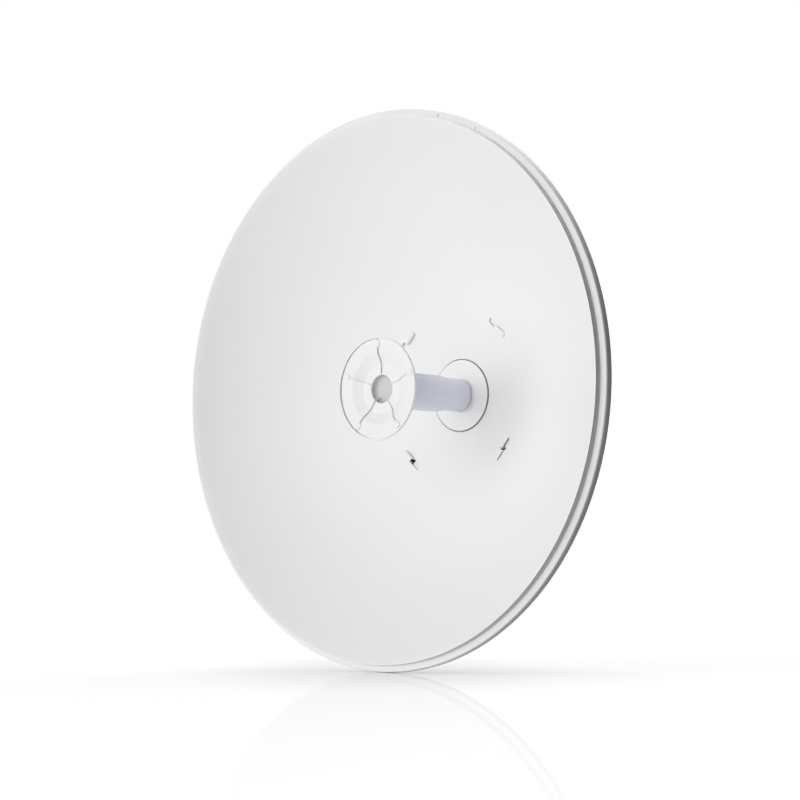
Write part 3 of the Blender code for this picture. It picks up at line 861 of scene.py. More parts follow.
@dataclass
class Reflector:
    """The pressed dish: a paraboloid sheet with a folded rim, four lances and two drain holes.

    Five sizes are shares: the hood's skin of the sheet, its sides of a lance's wall, and where both
    cuts start and end of a lance's half width.
    """

    rim_radius: float = 324.0 * MM
    lip_radius: float = 313.8 * MM
    focal_length: float = 171.0 * MM
    vertex_y: float = -150.0 * MM
    sheet: float = 1.5 * MM
    lip_fall: float = 0.7 * MM
    lip_fold: float = 1.1 * MM
    step_depth: float = 6.5 * MM
    flange_fall: float = 2.0 * MM
    wall_draft: float = 0.8 * MM
    edge_fold: float = 1.8 * MM
    edge_flare: float = 0.6 * MM
    skirt_depth: float = 9.8 * MM
    centre_hole: float = 30.0 * MM
    seat_radius: float = 43.1 * MM
    seat_step: float = 0.5 * MM
    undercut: float = 1.4 * MM
    lance_half_length: float = 15.5 * MM
    lance_half_width: float = 3.4 * MM
    lance_wall: float = 1.0 * MM
    hood_low: float = 3.3 * MM
    hood_high: float = 5.2 * MM
    hood_root: float = 1.1 * MM
    hood_round: float = 2.4 * MM
    hood_ease: float = 0.35 * MM
    hood_skin: float = 1.2
    hood_sides: float = 1.5
    sink_depth: float = 3.6 * MM
    trough_depth: float = 2.3 * MM
    room_depth: float = 6.0 * MM
    mouth: float = 2.2 * MM
    bite: float = 0.2 * MM
    cut_low: float = 0.3 * MM
    cut_height: float = 1.5 * MM
    hood_cut_from: float = 0.4
    hood_cut_to: float = 1.2
    trough_cut_to: float = 0.9
    drain_angles: Span = (74.7, 63.8)
    drain_radius: float = 1.4 * MM
    drain_inset: float = 1.0 * MM
    sharp: float = 30.0
    steps: int = 360
    rings: int = 40

    def front_y(self, radius: float) -> float:
        """The concave face's y at a radius."""
        return self.vertex_y - radius * radius / (4.0 * self.focal_length)

    def back_y(self, radius: float) -> float:
        """The convex face's y, one sheet thickness behind along the slope."""
        slope = radius / (2.0 * self.focal_length)
        return self.front_y(radius) + self.sheet * math.hypot(1.0, slope)

    def section(self) -> list[Corner]:
        """The sheet's section: seat, bowl, lip, wall, flange, skirt and back, with every fold rounded.

        Returns:
            The corners, from the hole in front round to the hole behind.
        """
        lip_y = self.front_y(self.lip_radius)
        flange = lip_y + self.step_depth
        fold = flange + self.flange_fall
        edge = flange + self.skirt_depth
        wall = self.lip_radius + self.sheet
        inside = self.rim_radius - self.sheet
        seat = self.vertex_y - self.sheet
        under_lip = self.lip_radius - self.undercut
        front_from = self.seat_radius + self.seat_step
        front_step = (self.lip_radius - front_from) / self.rings
        back_step = (under_lip - (self.seat_radius + self.sheet)) / self.rings
        front = [front_from + front_step * ring for ring in range(self.rings + 1)]
        back = [under_lip - back_step * ring for ring in range(self.rings + 1)]
        return [
            Corner(self.centre_hole, seat, FINE),
            Corner(self.seat_radius, seat, HAIR),
            *[Corner(radius, self.front_y(radius)) for radius in front],
            Corner(wall, lip_y - self.lip_fall, self.lip_fold),
            Corner(wall + self.wall_draft, flange, FULL),
            Corner(self.rim_radius - self.edge_flare, fold, self.edge_fold),
            Corner(self.rim_radius, edge, MILD),
            Corner(inside, edge, MILD),
            Corner(inside - self.edge_flare, fold + self.sheet, self.edge_fold - self.sheet),
            Corner(self.lip_radius, flange + self.sheet, FULL),
            Corner(self.lip_radius, self.back_y(under_lip) - HAIR),
            *[Corner(radius, self.back_y(radius)) for radius in back],
            Corner(self.seat_radius - self.seat_step, self.vertex_y, FINE),
            Corner(self.centre_hole, self.vertex_y, FINE),
        ]

    def lance_places(self) -> list[Matrix]:
        """The frame of each lance: along it, off the bowl and away from the hub.

        Returns:
            The four matrices.
        """
        slope = math.atan(LANCE_RADIUS / (2.0 * self.focal_length))
        forward = Vector((0.0, -1.0, 0.0))
        places = []
        for quarter in range(4):
            radial, tangent = lance_directions(quarter)
            height = forward * math.cos(slope) - radial * math.sin(slope)
            across = radial * math.cos(slope) + forward * math.sin(slope)
            base = radial * LANCE_RADIUS + Vector((0.0, self.front_y(LANCE_RADIUS), 0.0))
            places.append(axes(tangent, height, across, base))
        return places

    def hood(self, place: Matrix) -> Blank:
        """The raised half of a lance, a rounded back which climbs to its mouth.

        Args:
            place: The lance's frame.

        Returns:
            The solid hood.
        """
        half, root = self.lance_half_width, -self.hood_root
        section = [
            Corner(-half, root),
            Corner(-half, self.hood_high, self.hood_round),
            Corner(half, self.hood_high, self.hood_round),
            Corner(half, root),
        ]
        lying = Matrix.Rotation(math.radians(90.0), 4, "Y")
        shape = Blank.prism(section, lying, -self.lance_half_length, 0.0, arc=8)
        shape.tapered(self.hood_low / self.hood_high, self.lance_half_length)
        return shape.eased(self.hood_ease, 3, REAL_EDGE).placed(place)

    def trough(self, place: Matrix) -> Blank:
        """The sunk half of a lance, as a solid behind the sheet.

        Args:
            place: The lance's frame.

        Returns:
            The solid trough.
        """
        near, far = -3.0 * self.bite, self.lance_half_length + self.lance_wall
        half = self.lance_half_width + self.lance_wall
        outline = [
            Corner(near, -2.0 * self.bite),
            Corner(far, -2.0 * self.bite),
            Corner(far, -self.sink_depth, FULL),
            Corner(near, -self.sink_depth, MILD),
        ]
        return Blank.prism(outline, place, -half, half)

    def hood_room(self, place: Matrix) -> Blank:
        """The room under the hood, open behind and at its mouth.

        Args:
            place: The lance's frame.

        Returns:
            What is cut away.
        """
        skin = self.hood_skin * self.sheet
        far, near = skin - self.lance_half_length, 3.0 * self.bite
        half = self.lance_half_width - self.hood_sides * self.lance_wall
        outline = [
            Corner(far, -self.room_depth),
            Corner(far, 5.0 * self.bite, FINE),
            Corner(near, self.hood_high - skin, SHARP),
            Corner(near, -self.room_depth),
        ]
        return Blank.prism(outline, place, -half, half)

    def trough_room(self, place: Matrix) -> Blank:
        """The hollow of the trough, and the slot between its floor and the hood.

        Args:
            place: The lance's frame.

        Returns:
            What is cut away.
        """
        end, half = self.lance_half_length, self.lance_half_width
        near, top = 2.0 * self.bite, 8.0 * self.bite
        outline = [
            Corner(near, top),
            Corner(end, top),
            Corner(end, -self.trough_depth, SOFT),
            Corner(self.mouth, -self.trough_depth, FINE),
            Corner(self.mouth, -self.room_depth),
            Corner(near, -self.room_depth),
        ]
        return Blank.prism(outline, place, -half, half)

    def hood_cut(self, place: Matrix) -> Blank:
        """The cut that parts a hood from the sheet along its outer side.

        Args:
            place: The lance's frame.

        Returns:
            What is cut away.
        """
        far = 2.0 * self.lance_wall - self.lance_half_length
        outline = oblong((far, -self.lance_wall), (self.cut_low, self.cut_low + self.cut_height))
        near, beyond = self.hood_cut_from * self.lance_half_width, self.hood_cut_to * self.lance_half_width
        return Blank.prism(outline, place, near, beyond)

    def trough_cut(self, place: Matrix) -> Blank:
        """The cut in a trough's wall along its inner side.

        Args:
            place: The lance's frame.

        Returns:
            What is cut away.
        """
        low, far = -self.trough_depth + self.bite, self.lance_half_length - self.lance_wall
        outline = oblong((self.mouth, far), (low, low + self.cut_height))
        beyond = self.lance_half_width + 2.0 * self.lance_wall
        return Blank.prism(outline, place, -beyond, -self.trough_cut_to * self.lance_half_width)

    def drains(self) -> list[Blank]:
        """The drills of the two drain holes, through the middle of the flange.

        Returns:
            The two bars.
        """
        flange = self.front_y(self.lip_radius) + self.step_depth
        middle = 0.5 * (self.lip_radius + self.sheet + self.rim_radius - self.edge_flare - self.drain_inset)
        low, high = flange - 2.0 * self.sheet, flange + 3.0 * self.sheet
        drills = []
        for turn in map(math.radians, self.drain_angles):
            centre = (middle * math.cos(turn), middle * math.sin(turn))
            drills.append(Blank.drill(self.drain_radius, Lying.ALONG_Y, centre, low, high))
        return drills

    def build(self) -> list[bpy.types.Object]:
        """Turns the sheet, presses its lances, drills it and coats it.

        Returns:
            The reflector's piece.
        """
        places = self.lance_places()
        dish = Blank.turned(self.section(), self.steps, closed=True)
        for form in (self.hood, self.trough):
            dish.combined(Blank().with_shapes(form(place) for place in places), Joining.ADD)
        for room in (self.hood_room, self.trough_room, self.hood_cut, self.trough_cut):
            dish.combined(Blank().with_shapes(room(place) for place in places), Joining.CUT)
        dish.combined(Blank().with_shapes(self.drains()), Joining.CUT)
        return [dish.to_piece("reflector", WHITE_COAT, self.sharp)]


# The feed in front of the dish
@dataclass
class FeedTube:
    """The hub disc and the stepped tube that carries the splash plate."""

    disc_radius: float = 42.0 * MM
    disc_back: float = -151.8 * MM
    disc_front: float = -154.2 * MM
    disc_round: float = 0.7 * MM
    # A grey ring round the disc, which paints the shade on its side wall
    shade_ring_radius: float = 42.75 * MM
    shade_ring_front: float = -153.6 * MM
    shade_ring_tuck: float = 0.05 * MM
    neck_radius: float = 17.0 * MM
    rear_radius: float = 19.4 * MM
    front_radius: float = 21.7 * MM
    rear_from: float = -156.8 * MM
    rear_to: float = -182.5 * MM
    front_from: float = -195.5 * MM
    front_to: float = -267.7 * MM
    cone_round: float = 4.0 * MM
    steps: int = 160

    def disc_section(self) -> list[Corner]:
        """The disc with its softened edge."""
        depth = (self.disc_back, self.disc_front)
        return oblong((0.0, self.disc_radius), depth, (0.0, 0.0, self.disc_round, 0.0))

    def shade_ring_section(self) -> list[Corner]:
        """A grey ring that lies round the disc, in the joint to the reflector, as painted shade on the
        disc's side wall.
        """
        width = (self.disc_radius - self.shade_ring_tuck, self.shade_ring_radius)
        return oblong(width, (self.disc_back, self.shade_ring_front), (0.0, SHARP, HAIR, 0.0))

    def tube_section(self) -> list[Corner]:
        """The tube: a short neck at its foot, and a thicker part in front of a soft cone.

        Returns:
            The corners, from the foot to the front.
        """
        foot = self.disc_front - GAP
        return [
            Corner(0.0, foot),
            Corner(self.neck_radius, foot),
            Corner(self.neck_radius, self.rear_from, MILD),
            Corner(self.rear_radius, self.rear_from, SOFT),
            Corner(self.rear_radius, self.rear_to, self.cone_round),
            Corner(self.front_radius, self.front_from, self.cone_round),
            Corner(self.front_radius, self.front_to, FINE),
            Corner(0.0, self.front_to),
        ]

    def build(self) -> list[bpy.types.Object]:
        """Turns and finishes the disc, the grey ring of painted shade round it, and the tube.

        Returns:
            Their pieces.
        """
        disc = Blank.turned(self.disc_section(), self.steps)
        dark_ring = Blank.turned(self.shade_ring_section(), self.steps, closed=True)
        tube = Blank.turned(self.tube_section(), self.steps, arc=6)
        return [
            disc.to_piece("hub_disc", WHITE_PLASTIC),
            dark_ring.to_piece("disc_shade_ring", PAINTED_SHADE_GREY, added=True),
            tube.to_piece("feed_tube", TUBE_PLASTIC),
        ]


@dataclass
class SplashPlate:
    """The splash plate: a cone behind, a dished front, a raised rim, five ribs and a plugged hole.

    The bends are the radii where the dished front changes its slope, with its depth behind the rim.
    """

    back_y: float = -268.0 * MM
    back_radius: float = 24.5 * MM
    back_chamfer: float = 2.0 * MM
    edge_radius: float = 57.4 * MM
    edge_y: float = -294.6 * MM
    edge_chamfer: float = 1.5 * MM
    edge_round: float = 0.6 * MM
    hole_radius: float = 16.5 * MM
    hole_floor: float = -275.0 * MM
    hole_chamfer: float = 0.5 * MM
    rim_radius: float = 59.8 * MM
    rim_inside: float = 57.7 * MM
    rim_back: float = -296.2 * MM
    rim_round: float = 0.7 * MM
    front_y: float = -300.0 * MM
    plug_face: float = -284.0 * MM
    plug_slope: float = 3.6 * MM
    plug_round: float = 3.0 * MM
    plug_play: float = 0.02 * MM
    bend_ease: float = 0.9 * MM
    rib_count: int = 5
    rib_thickness: float = 1.0 * MM
    rib_height: float = 2.2 * MM
    rib_low: float = 0.7 * MM
    rib_inner: float = 17.8 * MM
    rib_outer: float = 57.1 * MM
    rib_step_from: float = 48.2 * MM
    rib_step_to: float = 55.0 * MM
    rib_ramp: float = 1.5 * MM
    rib_ease: float = 0.16 * MM
    rib_sharp: float = 50.0
    pad_half: float = 3.2 * MM
    pad_margin: float = 0.6 * MM
    pad_round: float = 0.25 * MM
    web_rib: int = 2
    web_inner: float = 10.0 * MM
    web_depth: float = 0.8 * MM
    web_drop: float = 2.5 * MM
    web_round: float = 1.0 * MM
    web_thickness: float = 0.7 * MM
    steps: int = 192
    bends: tuple[Span, ...] = (
        (16.3 * MM, 9.3 * MM),
        (24.0 * MM, 9.3 * MM),
        (28.8 * MM, 9.5 * MM),
        (35.0 * MM, 6.6 * MM),
        (41.0 * MM, 3.4 * MM),
        (50.0 * MM, 2.8 * MM),
        (58.0 * MM, 2.3 * MM),
    )

    def face_y(self, radius: float) -> float:
        """The y of the dished front between its bends.

        Args:
            radius: The distance from the boresight.

        Returns:
            The y there.
        """
        for (near, near_depth), (far, far_depth) in zip(self.bends, self.bends[1:]):
            if radius <= far:
                share = (radius - near) / (far - near)
                return self.front_y + near_depth + (far_depth - near_depth) * share
        return self.front_y + self.bends[-1][1]

    def body_section(self) -> list[Corner]:
        """The plate itself, with its bends eased into curves.

        Returns:
            The corners, from the back round to the hole's floor.
        """
        lip = self.hole_radius + self.hole_chamfer
        bends = [radius for radius, _ in reversed(self.bends[1:-1])]
        return [
            Corner(0.0, self.back_y),
            Corner(self.back_radius, self.back_y, SOFT),
            Corner(self.back_radius + self.back_chamfer, self.back_y - self.back_chamfer, FULL),
            Corner(self.edge_radius - self.edge_chamfer, self.edge_y + self.edge_chamfer, self.edge_round),
            Corner(self.edge_radius, self.edge_y, FINE),
            Corner(self.edge_radius, self.face_y(self.edge_radius), HAIR),
            *[Corner(radius, self.face_y(radius), self.bend_ease) for radius in bends],
            Corner(lip, self.face_y(lip)),
            Corner(self.hole_radius, self.face_y(lip) + self.hole_chamfer),
            Corner(self.hole_radius, self.hole_floor),
            Corner(0.0, self.hole_floor),
        ]

    def rim_section(self) -> list[Corner]:
        """The rim ring, rounded on its two front edges."""
        eases = (HAIR, MILD, self.rim_round, self.edge_round)
        return oblong((self.rim_inside, self.rim_radius), (self.rim_back, self.front_y), eases)

    def plug_section(self) -> list[Corner]:
        """The plug that closes the hole, pressed in tight.

        Returns:
            The corners, from its back to its face.
        """
        radius = self.hole_radius - self.plug_play
        back = self.hole_floor - GAP
        return [
            Corner(0.0, back),
            Corner(radius, back),
            Corner(radius, self.plug_face - self.plug_slope),
            Corner(radius - self.plug_slope, self.plug_face, self.plug_round),
            Corner(0.0, self.plug_face),
        ]

    def fin(self) -> Blank:
        """The thin upright part of a rib, from the hole's lip to the rim.

        Returns:
            The fin of a rib that points along +X.
        """
        inner = [radius for radius, _ in self.bends if self.rib_inner < radius < self.rib_step_from]
        high = [self.rib_inner, *inner, self.rib_step_from - self.rib_ramp]
        radii = [*high, self.rib_step_from, self.rib_step_to, self.rib_outer]
        foot = [Corner(radius, self.face_y(radius) - GAP) for radius in radii]
        rises = [self.rib_height] * len(high) + [self.rib_low] * 2
        crest = [Corner(corner.a, corner.b - rise, MILD) for corner, rise in zip(foot, rises)]
        crest.append(Corner(self.rib_outer, self.front_y + HAIR, FINE))
        half = 0.5 * self.rib_thickness
        fin = Blank.prism([*foot, *reversed(crest)], Lying.ALONG_Z, -half, half)
        return fin.eased(self.rib_ease, 2, self.rib_sharp)

    def pad(self) -> Blank:
        """The wide low pad at a rib's outer end.

        Returns:
            The pad of a rib that points along +X.
        """
        near, far = self.rib_step_from - self.pad_margin, self.rib_step_to + self.pad_margin
        near_foot, far_foot = self.face_y(near) - GAP, self.face_y(far) - GAP
        outline = [
            Corner(near, near_foot),
            Corner(far, far_foot),
            Corner(far, far_foot - self.rib_low, self.pad_round),
            Corner(near, near_foot - self.rib_low, self.pad_round),
        ]
        blank = Blank.prism(outline, Lying.ALONG_Z, -self.pad_half, self.pad_half)
        return blank.eased(HAIR, 2, self.rib_sharp)

    def web(self) -> Blank:
        """The low web that one rib sends down the hole's wall, with a gusset to its floor.

        Returns:
            The web of a rib that points along +X.
        """
        wall = self.hole_radius - GAP
        low = wall - self.web_depth
        floor = self.plug_face - self.plug_slope - SHARP
        lip = self.face_y(self.rib_inner) - GAP
        outline = [
            Corner(self.rib_inner + SOFT, lip),
            Corner(wall, lip),
            Corner(wall, floor),
            Corner(wall - self.plug_slope, floor + self.plug_slope),
            Corner(self.web_inner, floor + self.plug_slope),
            Corner(low, lip + self.web_drop, self.web_round),
            Corner(low, lip - self.rib_height, self.edge_round),
            Corner(self.rib_inner + SOFT, lip - self.rib_height),
        ]
        half = 0.5 * self.web_thickness
        return Blank.prism(outline, Lying.ALONG_Z, -half, half).eased(self.rib_ease, 2, self.rib_sharp)

    def rib(self, number: int) -> Blank:
        """One rib with its pad, and its web where it has one, turned to its place.

        Args:
            number: Its number from 0, which points straight up.

        Returns:
            The rib.
        """
        parts = [self.pad(), self.web()] if number == self.web_rib else [self.pad()]
        turn = math.radians(90.0 + 360.0 / self.rib_count * number)
        return self.fin().with_shapes(parts).placed(Matrix.Rotation(-turn, 4, "Y"))

    def build(self) -> list[bpy.types.Object]:
        """Turns the plate, its rim and its plug, and sets the ribs.

        Returns:
            Their pieces.
        """
        pieces = [
            Blank.turned(self.body_section(), self.steps, arc=5).to_piece("splash_plate", WHITE_PLASTIC),
            Blank.turned(self.rim_section(), self.steps, closed=True).to_piece("plate_rim", WHITE_PLASTIC),
            Blank.turned(self.plug_section(), self.steps).to_piece("centre_plug", PLUG_PLASTIC),
        ]
        for number in range(self.rib_count):
            pieces.append(self.rib(number).to_piece(f"rib_{number + 1}", WHITE_PLASTIC))
        return pieces


# The feed's housing behind the dish
@dataclass
class FeedHousing:
    """The turned housing, its screwed cap and two connectors under knurled dust caps."""

    front_y: float = -151.5 * MM
    radius: float = 29.0 * MM
    back_y: float = -95.0 * MM
    back_round: float = 1.0 * MM
    groove_places: Triple = (-136.0 * MM, -124.0 * MM, -112.0 * MM)
    groove_depth: float = 0.8 * MM
    groove_half: float = 2.0 * MM
    groove_floor_half: float = 1.2 * MM
    cap_radius: float = 31.0 * MM
    cap_back: float = -89.5 * MM
    cap_chamfer: float = 1.0 * MM
    connector_x: float = 14.0 * MM
    flange_radius: float = 9.0 * MM
    flange_thickness: float = 3.0 * MM
    neck_radius: float = 6.8 * MM
    neck_pitch: float = 1.0 * MM
    dust_cap_radius: float = 8.2 * MM
    dust_cap_from: float = -83.0 * MM
    dust_cap_back: float = -72.0 * MM
    dust_cap_round: float = 1.2 * MM
    dust_cap_rim: float = 3.0 * MM
    dust_cap_face: float = 3.4 * MM
    teeth: int = 40
    tooth_depth: float = 0.45 * MM
    screw_circle: float = 25.5 * MM
    screw_radius: float = 2.4 * MM
    screw_height: float = 2.0 * MM
    socket_radius: float = 1.4 * MM
    socket_depth: float = 1.3 * MM
    steps: int = 128
    dust_cap_steps: int = 96
    neck_steps: int = 64
    screw_steps: int = 32

    def housing(self) -> Blank:
        """The housing with three shallow grooves.

        Returns:
            The turned housing.
        """
        section = [Corner(0.0, self.front_y), Corner(self.radius, self.front_y, SOFT)]
        floor = self.radius - self.groove_depth
        for y in self.groove_places:
            section += [
                Corner(self.radius, y - self.groove_half, FINE),
                Corner(floor, y - self.groove_floor_half, FINE),
                Corner(floor, y + self.groove_floor_half, FINE),
                Corner(self.radius, y + self.groove_half, FINE),
            ]
        section.reverse()
        back = [Corner(0.0, self.back_y), Corner(self.radius, self.back_y, self.back_round)]
        return Blank.turned(back + section, self.steps)

    def cap(self) -> Blank:
        """The cap, chamfered behind and held by four socket screws.

        Returns:
            The turned cap with its screws.
        """
        front = self.back_y + GAP
        section = [
            Corner(0.0, front),
            Corner(self.cap_radius, front, MILD),
            Corner(self.cap_radius, self.cap_back - self.cap_chamfer, FINE),
            Corner(self.cap_radius - self.cap_chamfer, self.cap_back, FINE),
            Corner(0.0, self.cap_back),
        ]
        return Blank.turned(section, self.steps).with_shapes([self.screw(corner) for corner in range(4)])

    def screw(self, corner: int) -> Blank:
        """One socket screw of the cap.

        Args:
            corner: Its number, from the upper right on.

        Returns:
            The screw's head with its socket, in its place.
        """
        foot = self.cap_back - SOFT
        top = self.cap_back + self.screw_height
        section = oblong((0.0, self.screw_radius), (foot, top), (0.0, 0.0, MILD, 0.0))
        head = Blank.turned(section, self.screw_steps)
        hexagon = polygon(6, self.socket_radius)
        socket = Blank.prism(hexagon, Lying.ALONG_Y, top - self.socket_depth, top + CLEAR)
        turn = diagonal(corner)
        place = (self.screw_circle * math.cos(turn), 0.0, self.screw_circle * math.sin(turn))
        return head.combined(socket, Joining.CUT).placed(Matrix.Translation(place))

    def knurl(self) -> Blank:
        """The toothed round bar that a dust cap is turned from.

        Returns:
            The bar.
        """
        outline = []
        for tooth in range(2 * self.teeth):
            turn = math.pi * tooth / self.teeth
            reach = self.dust_cap_radius - (self.tooth_depth if tooth % 2 else 0.0)
            outline.append(Corner(reach * math.cos(turn), reach * math.sin(turn)))
        return Blank.prism(outline, Lying.ALONG_Y, self.dust_cap_from, self.dust_cap_back)

    def dust_cap(self) -> Blank:
        """A knurled dust cap, rounded on its edges and sunk a little in its face.

        Returns:
            The dust cap.
        """
        face = self.dust_cap_back - SOFT
        section = [
            Corner(0.0, self.dust_cap_from),
            Corner(self.dust_cap_radius, self.dust_cap_from, FULL),
            Corner(self.dust_cap_radius, self.dust_cap_back, self.dust_cap_round),
            Corner(self.dust_cap_radius - self.dust_cap_rim, self.dust_cap_back, FINE),
            Corner(self.dust_cap_radius - self.dust_cap_face, face, FINE),
            Corner(0.0, face),
        ]
        return self.knurl().combined(Blank.turned(section, self.dust_cap_steps), Joining.KEEP)

    def connector(self, x: float) -> Blank:
        """One connector: flange, threaded neck and a knurled dust cap.

        Args:
            x: How far it stands to the right of the boresight.

        Returns:
            The connector.
        """
        foot = self.cap_back + GAP
        flange_back = foot + self.flange_thickness
        neck_end = self.dust_cap_from + self.neck_pitch
        section = [
            Corner(0.0, foot),
            Corner(self.flange_radius, foot, FINE),
            Corner(self.flange_radius, flange_back, SOFT),
            Corner(self.neck_radius, flange_back, HAIR),
            *thread(self.neck_radius, flange_back + FINE, self.dust_cap_from, self.neck_pitch),
            Corner(self.neck_radius, neck_end),
            Corner(0.0, neck_end),
        ]
        neck = Blank.turned(section, self.neck_steps)
        return neck.with_shapes([self.dust_cap()]).placed(Matrix.Translation((x, 0.0, 0.0)))

    def build(self) -> list[bpy.types.Object]:
        """Turns and dresses the housing, the cap and both connectors.

        Returns:
            Their pieces.
        """
        shapes = {
            "feed_housing": self.housing(),
            "housing_cap": self.cap(),
            "connector_1": self.connector(-self.connector_x),
            "connector_2": self.connector(self.connector_x),
        }
        return [shape.to_piece(node, TURNED_ALUMINIUM) for node, shape in shapes.items()]


# The mount, all behind the dish
PLATE_FRONT = -150.0 * MM + GAP
PLATE_THICKNESS = 3.0 * MM
PLATE_BOLT_X = 76.0 * MM
PLATE_BOLT_Z = 34.0 * MM
SIDE_BOLT_Y = -80.0 * MM
SIDE_BOLT_Z = 28.0 * MM
WASHER_HEIGHT = 1.7 * MM


def four_places(x: float, z: float) -> dict[str, Span]:
    """Four places round the boresight, by the names that their bolts have.

    Args:
        x: How far they stand to the left and right.
        z: How far they stand below and above.

    Returns:
        Each place's x and z under its level and hand.
    """
    return {
        f"{level}_{hand}": (across * x, up * z)
        for across, hand in ((-1.0, "left"), (1.0, "right"))
        for up, level in ((-1.0, "lower"), (1.0, "upper"))
    }


@dataclass
class Bolt:
    """An M8 bolt along its own +Y: head at the low end, then shank, washers and nut.

    The chamfer of its hexagons is a share of how far their points are turned off.
    """

    node: str
    place: Matrix
    seat: float
    nut_from: float
    end: float
    washers: tuple[float, ...] = ()
    shank_radius: float = 4.0 * MM
    shank_plain: float = 2.0 * MM
    hex_radius: float = 7.5 * MM
    hex_play: float = 0.05 * MM
    hex_turned: float = 1.0 * MM
    hex_chamfer: float = 0.55
    head_height: float = 5.3 * MM
    nut_height: float = 6.5 * MM
    washer_radius: float = 8.5 * MM
    pitch: float = 1.25 * MM
    thread_length: float = 26.0 * MM
    point: float = 0.9 * MM
    steps: int = 32
    wide_steps: int = 48

    def hexagon(self, low: float, high: float, both_ends: bool) -> Blank:
        """A hexagon whose points are turned off at its low end, or at both.

        Args:
            low: Where it starts.
            high: Where it ends.
            both_ends: Whether its high end is turned off too.

        Returns:
            The hexagon.
        """
        wide = self.hex_radius + self.hex_play
        narrow, chamfer = wide - self.hex_turned, self.hex_chamfer * self.hex_turned
        section = [Corner(0.0, low), Corner(narrow, low), Corner(wide, low + chamfer)]
        if both_ends:
            section += [Corner(wide, high - chamfer), Corner(narrow, high), Corner(0.0, high)]
        else:
            section += [Corner(wide, high + CLEAR), Corner(0.0, high + CLEAR)]
        blank = Blank.prism(polygon(6, self.hex_radius), Lying.ALONG_Y, low, high)
        return blank.combined(Blank.turned(section, self.wide_steps), Joining.KEEP)

    def shank(self) -> Blank:
        """The shank with its threaded end.

        Returns:
            The shank.
        """
        low, shoulder = self.seat - HAIR, self.end - self.point
        start = max(low + self.shank_plain, self.end - self.thread_length)
        section = [
            Corner(0.0, low),
            Corner(self.shank_radius, low),
            Corner(self.shank_radius, start - MILD),
            *thread(self.shank_radius, start, shoulder, self.pitch),
            Corner(self.shank_radius - SHARP, shoulder),
            Corner(self.shank_radius - self.point, self.end),
            Corner(0.0, self.end),
        ]
        return Blank.turned(section, self.steps)

    def washer(self, low: float) -> Blank:
        """One flat washer.

        Args:
            low: Where its lower face lies.

        Returns:
            The washer.
        """
        width = (self.shank_radius - HAIR, self.washer_radius)
        section = oblong(width, (low, low + WASHER_HEIGHT), (0.0, FINE, FINE, 0.0))
        return Blank.turned(section, self.wide_steps, closed=True, arc=2)

    def build(self) -> bpy.types.Object:
        """Forms the parts, places them and plates them.

        Returns:
            The bolt's piece.
        """
        head = self.hexagon(self.seat - self.head_height, self.seat, False)
        nut = self.hexagon(self.nut_from, self.nut_from + self.nut_height, True)
        washers = [self.washer(low) for low in self.washers]
        bolt = head.with_shapes([nut, self.shank(), *washers]).placed(self.place)
        return bolt.to_piece(self.node, FASTENER_ZINC)


